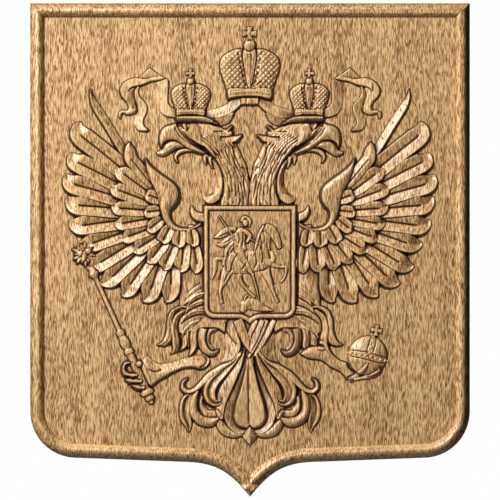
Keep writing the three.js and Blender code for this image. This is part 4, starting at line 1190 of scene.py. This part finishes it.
def oak():
    material = bpy.data.materials.new("oak")
    material.use_nodes = True
    material.node_tree.nodes.clear()
    graph = Value(material.node_tree)

    def drawn_out(along):
        return graph.node("ShaderNodeMapping", {}, {0: place, 3: (1, 0.4, along)})

    def noise(where, scale, detail, rough=0.5):
        inputs = {"Vector": where, "Scale": scale, "Detail": detail, "Roughness": rough}
        return graph.node("ShaderNodeTexNoise", {}, inputs)

    def ramp(value, start, end):
        smooth = {"interpolation_type": "SMOOTHSTEP"}
        return graph.node("ShaderNodeMapRange", smooth, {0: value, 1: start, 2: end})

    def mixed(factor, first, second):
        return graph.node("ShaderNodeMix", {"data_type": "RGBA"}, {0: factor, 6: first, 7: second}, 2)

    def frontward(vector):
        return graph.node("ShaderNodeVectorMath", {"operation": "DOT_PRODUCT"}, {0: vector, 1: FRONT}, 1)

    def mark(name):
        return graph.node("ShaderNodeAttribute", {"attribute_name": name}, {}, 2)

    place = graph.node("ShaderNodeTexCoord", output=3)
    drift = noise(place, DRIFT_SCALE, 1)
    lean = graph.node("ShaderNodeCombineXYZ", {}, {"X": (drift - 0.5) * DRIFT})
    place = graph.node("ShaderNodeVectorMath", {"operation": "ADD"}, {0: place, 1: lean})
    bands = noise(drawn_out(0.1), BAND_SCALE, 3, 0.6)
    streaks = noise(drawn_out(0.115), STREAK_SCALE, 1)
    threads = noise(drawn_out(0.08), THREAD_SCALE, 1)
    pores = ramp(noise(drawn_out(0.1), PORE_SCALE, 1) + (0.5 - bands) * 0.25, 0.55, 0.62)
    fine = streaks * 0.6 + threads * 0.4

    wood = mixed(ramp(fine, 0.47, 0.57), TAN, HONEY)
    wood = mixed(ramp(fine, 0.48, 0.4), wood, BROWN)
    wood = mixed(ramp(bands, 0.55, 0.3) * 0.15, wood, BROWN)
    wood = mixed(pores * 0.9, wood, PORE)
    # Painted shade: the relief's walls that turn away from the front are darkened towards near black.
    facing = frontward(graph.node("ShaderNodeTexCoord", output=1))
    forward = frontward(place)
    clamped = {"operation": "MULTIPLY", "use_clamp": True}
    steep_shade = graph.node("ShaderNodeMath", clamped, {0: 0.68 - facing, 1: 2.2})
    wood = mixed(steep_shade * 0.7 * ramp(forward, 0.0165, 0.0185), wood, SHADE_BLACK)
    # Painted shade: an occlusion node darkens the narrowest cuts towards near black.
    recess = {"samples": 8, "only_local": True}
    occlusion_shade = graph.node("ShaderNodeAmbientOcclusion", recess, {"Distance": RECESS_REACH}, 1)
    wood = mixed(ramp(occlusion_shade, 0.85, 0.4) * 0.85, wood, SHADE_BLACK)
    # Painted shade from the panel's marks: cuts, hollows and steep walls go dark brown, then near black.
    pooled_shade = mark("painted_shade") * ramp(forward, 0.01805, 0.0184)
    # Painted highlight: the crests are lightened towards honey.
    wood = mixed(mark("crest_highlight") * 0.4, wood, HONEY)
    wood = mixed(ramp(pooled_shade, 0, 0.7) * 0.7, wood, SHADE_BROWN)
    wood = mixed(ramp(pooled_shade, 0.5, 1) * 0.95, wood, SHADE_BLACK)

    grain = 0.5 - pores * 0.5 + streaks * 0.2
    bump = graph.node("ShaderNodeBump", {}, {"Strength": 0.25, "Distance": 0.0006, "Height": grain})
    surface = graph.node("ShaderNodeBsdfPrincipled", {}, {
        "Base Color": wood,
        "Roughness": 0.55 + pores * 0.25,
        "Normal": bump,
        "Specular IOR Level": 0.3,
        "Coat Weight": (1 - pores * 0.8) * (1 - ramp(pooled_shade, 0.3, 1) * 0.8),
        "Coat Roughness": 0.5,
        "Coat IOR": 1.75,
    })
    graph.node("ShaderNodeOutputMaterial", {}, {0: surface})
    return material


finish = oak()

# The beads: small half-sunk balls cut in rows down the crowns, round their bands and along the
# straps of the orb. One tree sets them out along a line at an even step.
SMALL_BEAD = 0.75
LARGE_BEAD = 0.95
ORB_BEAD = 1.7
BEAD_SUNK = 0.22
BEAD_STEP = 2.6
ORB_BEAD_STEP = 4.9


def bead_tree():
    tree = bpy.data.node_groups.new("row_of_beads", "GeometryNodeTree")
    names = {"Geometry": "Geometry", "Bead radius": "Float", "Step": "Float", "Finish": "Material"}
    for name, kind in names.items():
        tree.interface.new_socket(name, in_out="INPUT", socket_type="NodeSocket" + kind)
    tree.interface.new_socket("Geometry", in_out="OUTPUT", socket_type="NodeSocketGeometry")
    given = tree.nodes.new("NodeGroupInput")
    drawn, radius, step, finish = (Value(tree, given.outputs[name]) for name in names)
    line = drawn.node("GeometryNodeMeshToCurve", {}, {"Mesh": drawn})
    places = line.node("GeometryNodeCurveToPoints", {"mode": "LENGTH"}, {"Curve": line, "Length": step})
    bead = radius.node("GeometryNodeMeshIcoSphere", {}, {"Radius": radius, "Subdivisions": 2})
    beads = places.node("GeometryNodeInstanceOnPoints", {}, {"Points": places, "Instance": bead})
    real = beads.node("GeometryNodeRealizeInstances", {}, {"Geometry": beads})
    finished = real.node("GeometryNodeSetMaterial", {}, {"Geometry": real, "Material": finish})
    finished.node("NodeGroupOutput", {}, {"Geometry": finished})
    return tree


def row_of_beads(tree, points, radius, step, finish):
    line = flat_line(points)[:, :2]
    column = np.round((line[:, 0] - across_x[0]) / GRID).astype(int)
    row = np.round((line[:, 1] - up_y[0]) / GRID).astype(int)
    rise = FIELD + ground[row, column] + radius * (1 - 2 * BEAD_SUNK) / 2
    places = stood_up(np.column_stack([line, np.minimum(rise, DEPTH - radius - INSIDE_BOX)]))
    mesh = bpy.data.meshes.new("bead_line")
    mesh.from_pydata(places, [(i, i + 1) for i in range(len(places) - 1)], [])
    beads = in_scene("bead_line", mesh)
    rows = beads.modifiers.new("beads", "NODES")
    rows.node_group = tree
    named = {item.name: item.identifier for item in tree.interface.items_tree if item.in_out == "INPUT"}
    rows[named["Bead radius"]] = radius / 1000
    rows[named["Step"]] = step / 1000
    rows[named["Finish"]] = finish
    return made_plain(beads)


def crown_beads(centre_x, foot, half, radius, hand):
    gore = [(0, 0.75), (0, 1.5)]
    band = [(x, 0.17 + 0.06 * (1 - 2 * x * x)) for x in (-0.64, -0.3, 0, 0.3, 0.64)]
    for line in (gore, band):
        points = [(hand * (centre_x + x * half), foot + y * half) for x, y in line]
        yield points, radius, BEAD_STEP * radius


bead_rows = []
for hand in (1, -1):
    bead_rows += crown_beads(*HEAD_CROWN, SMALL_BEAD, hand)
bead_rows += crown_beads(*GREAT_CROWN, LARGE_BEAD, 1)
for line in (ORB_BAND, ORB_STRAP):
    bead_rows.append(([(x, y) for x, y, _ in line], ORB_BEAD, ORB_BEAD_STEP))
tree = bead_tree()
bead_pieces = [row_of_beads(tree, *row, finish) for row in bead_rows]

# The panel: the relief and the beads are joined to the board as the one piece of oak that they
# are, and the whole is oiled. It hangs from its back, which lies on the wall.
SHARP_EDGE = 38
ON_FIELD = 0.01
panel = board
for other in (relief, *bead_pieces):
    join = panel.modifiers.new("join", "BOOLEAN")
    join.operation = "UNION"
    join.solver = "MANIFOLD"
    join.object = other
    made_plain(panel)
    bpy.data.objects.remove(other)
panel.name = panel.data.name = "carved_panel"
panel.data.shade_smooth()
points = np.empty(3 * len(panel.data.vertices), np.float32)
panel.data.vertices.foreach_get("co", points)
on_field = np.abs(points.reshape(-1, 3)[:, 1] * 1000 + FIELD) < ON_FIELD
for face in panel.data.polygons:
    if all(on_field[i] for i in face.vertices):
        face.use_smooth = False
panel.data.set_sharp_from_angle(angle=math.radians(SHARP_EDGE))
even = panel.modifiers.new("even", "WEIGHTED_NORMAL")
even.keep_sharp = True
made_plain(panel)
# The painted shade is stored on the panel's points; the beads get none.
marked(panel, "painted_shade", painted_shade_map, 0.0)
# The painted highlight is stored on the panel's points; the beads get a strong one.
marked(panel, "crest_highlight", crest_highlight_map, 0.9)
panel.data.materials.clear()
panel.data.materials.append(finish)
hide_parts("carved_shield")
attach(panel, "root")

# The room: a pale floor under the panel, a bright even sky, one soft light from the upper left
# and a weak one behind for the back. The camera looks at it square-on from far away.
FLOOR_LEVEL = -2.0
FLOOR_FRONT = -1.2
FLOOR_BACK = 0.8
FLOOR_HALF = 1.2
FLOOR_GREY = (0.9, 0.9, 0.9, 1)
BACKDROP = 1.0
FILL = 0.016
KEY_PLACE = (-1.57, -1.7, 1.57)
KEY_POWER = 117
REAR_PLACE = (0, 2.6, 0.2)
REAR_POWER = 22
LIGHT_SIZE = 0.5

floor_mesh = bpy.data.meshes.new("floor")
corners = [(-FLOOR_HALF, FLOOR_FRONT), (FLOOR_HALF, FLOOR_FRONT)]
corners += [(FLOOR_HALF, FLOOR_BACK), (-FLOOR_HALF, FLOOR_BACK)]
floor_mesh.from_pydata([(x, y, FLOOR_LEVEL) for x, y in corners], [], [(0, 1, 2, 3)])
floor = in_scene("floor", floor_mesh)
pale = bpy.data.materials.new("pale_floor")
pale.use_nodes = True
pale_surface = pale.node_tree.nodes["Principled BSDF"]
pale_surface.inputs["Base Color"].default_value = FLOOR_GREY
pale_surface.inputs["Roughness"].default_value = 0.9
floor_mesh.materials.append(pale)

world = bpy.data.worlds.new("room")
bpy.context.scene.world = world
world.use_nodes = True
world.node_tree.nodes.clear()
seen = Value(world.node_tree).node("ShaderNodeLightPath")
brightness = seen * (BACKDROP - FILL) + FILL
sky = seen.node("ShaderNodeBackground", {}, {"Color": (1, 1, 1, 1), "Strength": brightness})
sky.node("ShaderNodeOutputWorld", {}, {"Surface": sky})


def soft_light(name, place, power):
    lamp = bpy.data.lights.new(name, "AREA")
    lamp.energy = power
    lamp.size = LIGHT_SIZE
    lamp.use_shadow = False
    light = in_scene(name, lamp)
    light.location = place
    light.rotation_euler = (-Vector(place)).to_track_quat("-Z", "Y").to_euler()


soft_light("window", KEY_PLACE, KEY_POWER)
soft_light("rear_light", REAR_PLACE, REAR_POWER)
bpy.context.scene.view_settings.view_transform = "Standard"

CAMERA_AWAY = 6.0
CAMERA_PLACE = (0, -CAMERA_AWAY - 0.02, 0)
VIEW_WIDTH = 0.5
SENSOR = 36
camera_data = bpy.data.cameras.new("camera")
camera_data.sensor_width = SENSOR
camera_data.lens = SENSOR * CAMERA_AWAY / VIEW_WIDTH
camera_data.clip_end = 50
camera = in_scene("camera", camera_data)
camera.location = CAMERA_PLACE
camera.rotation_euler = (math.pi / 2, 0, 0)
bpy.context.scene.camera = camera
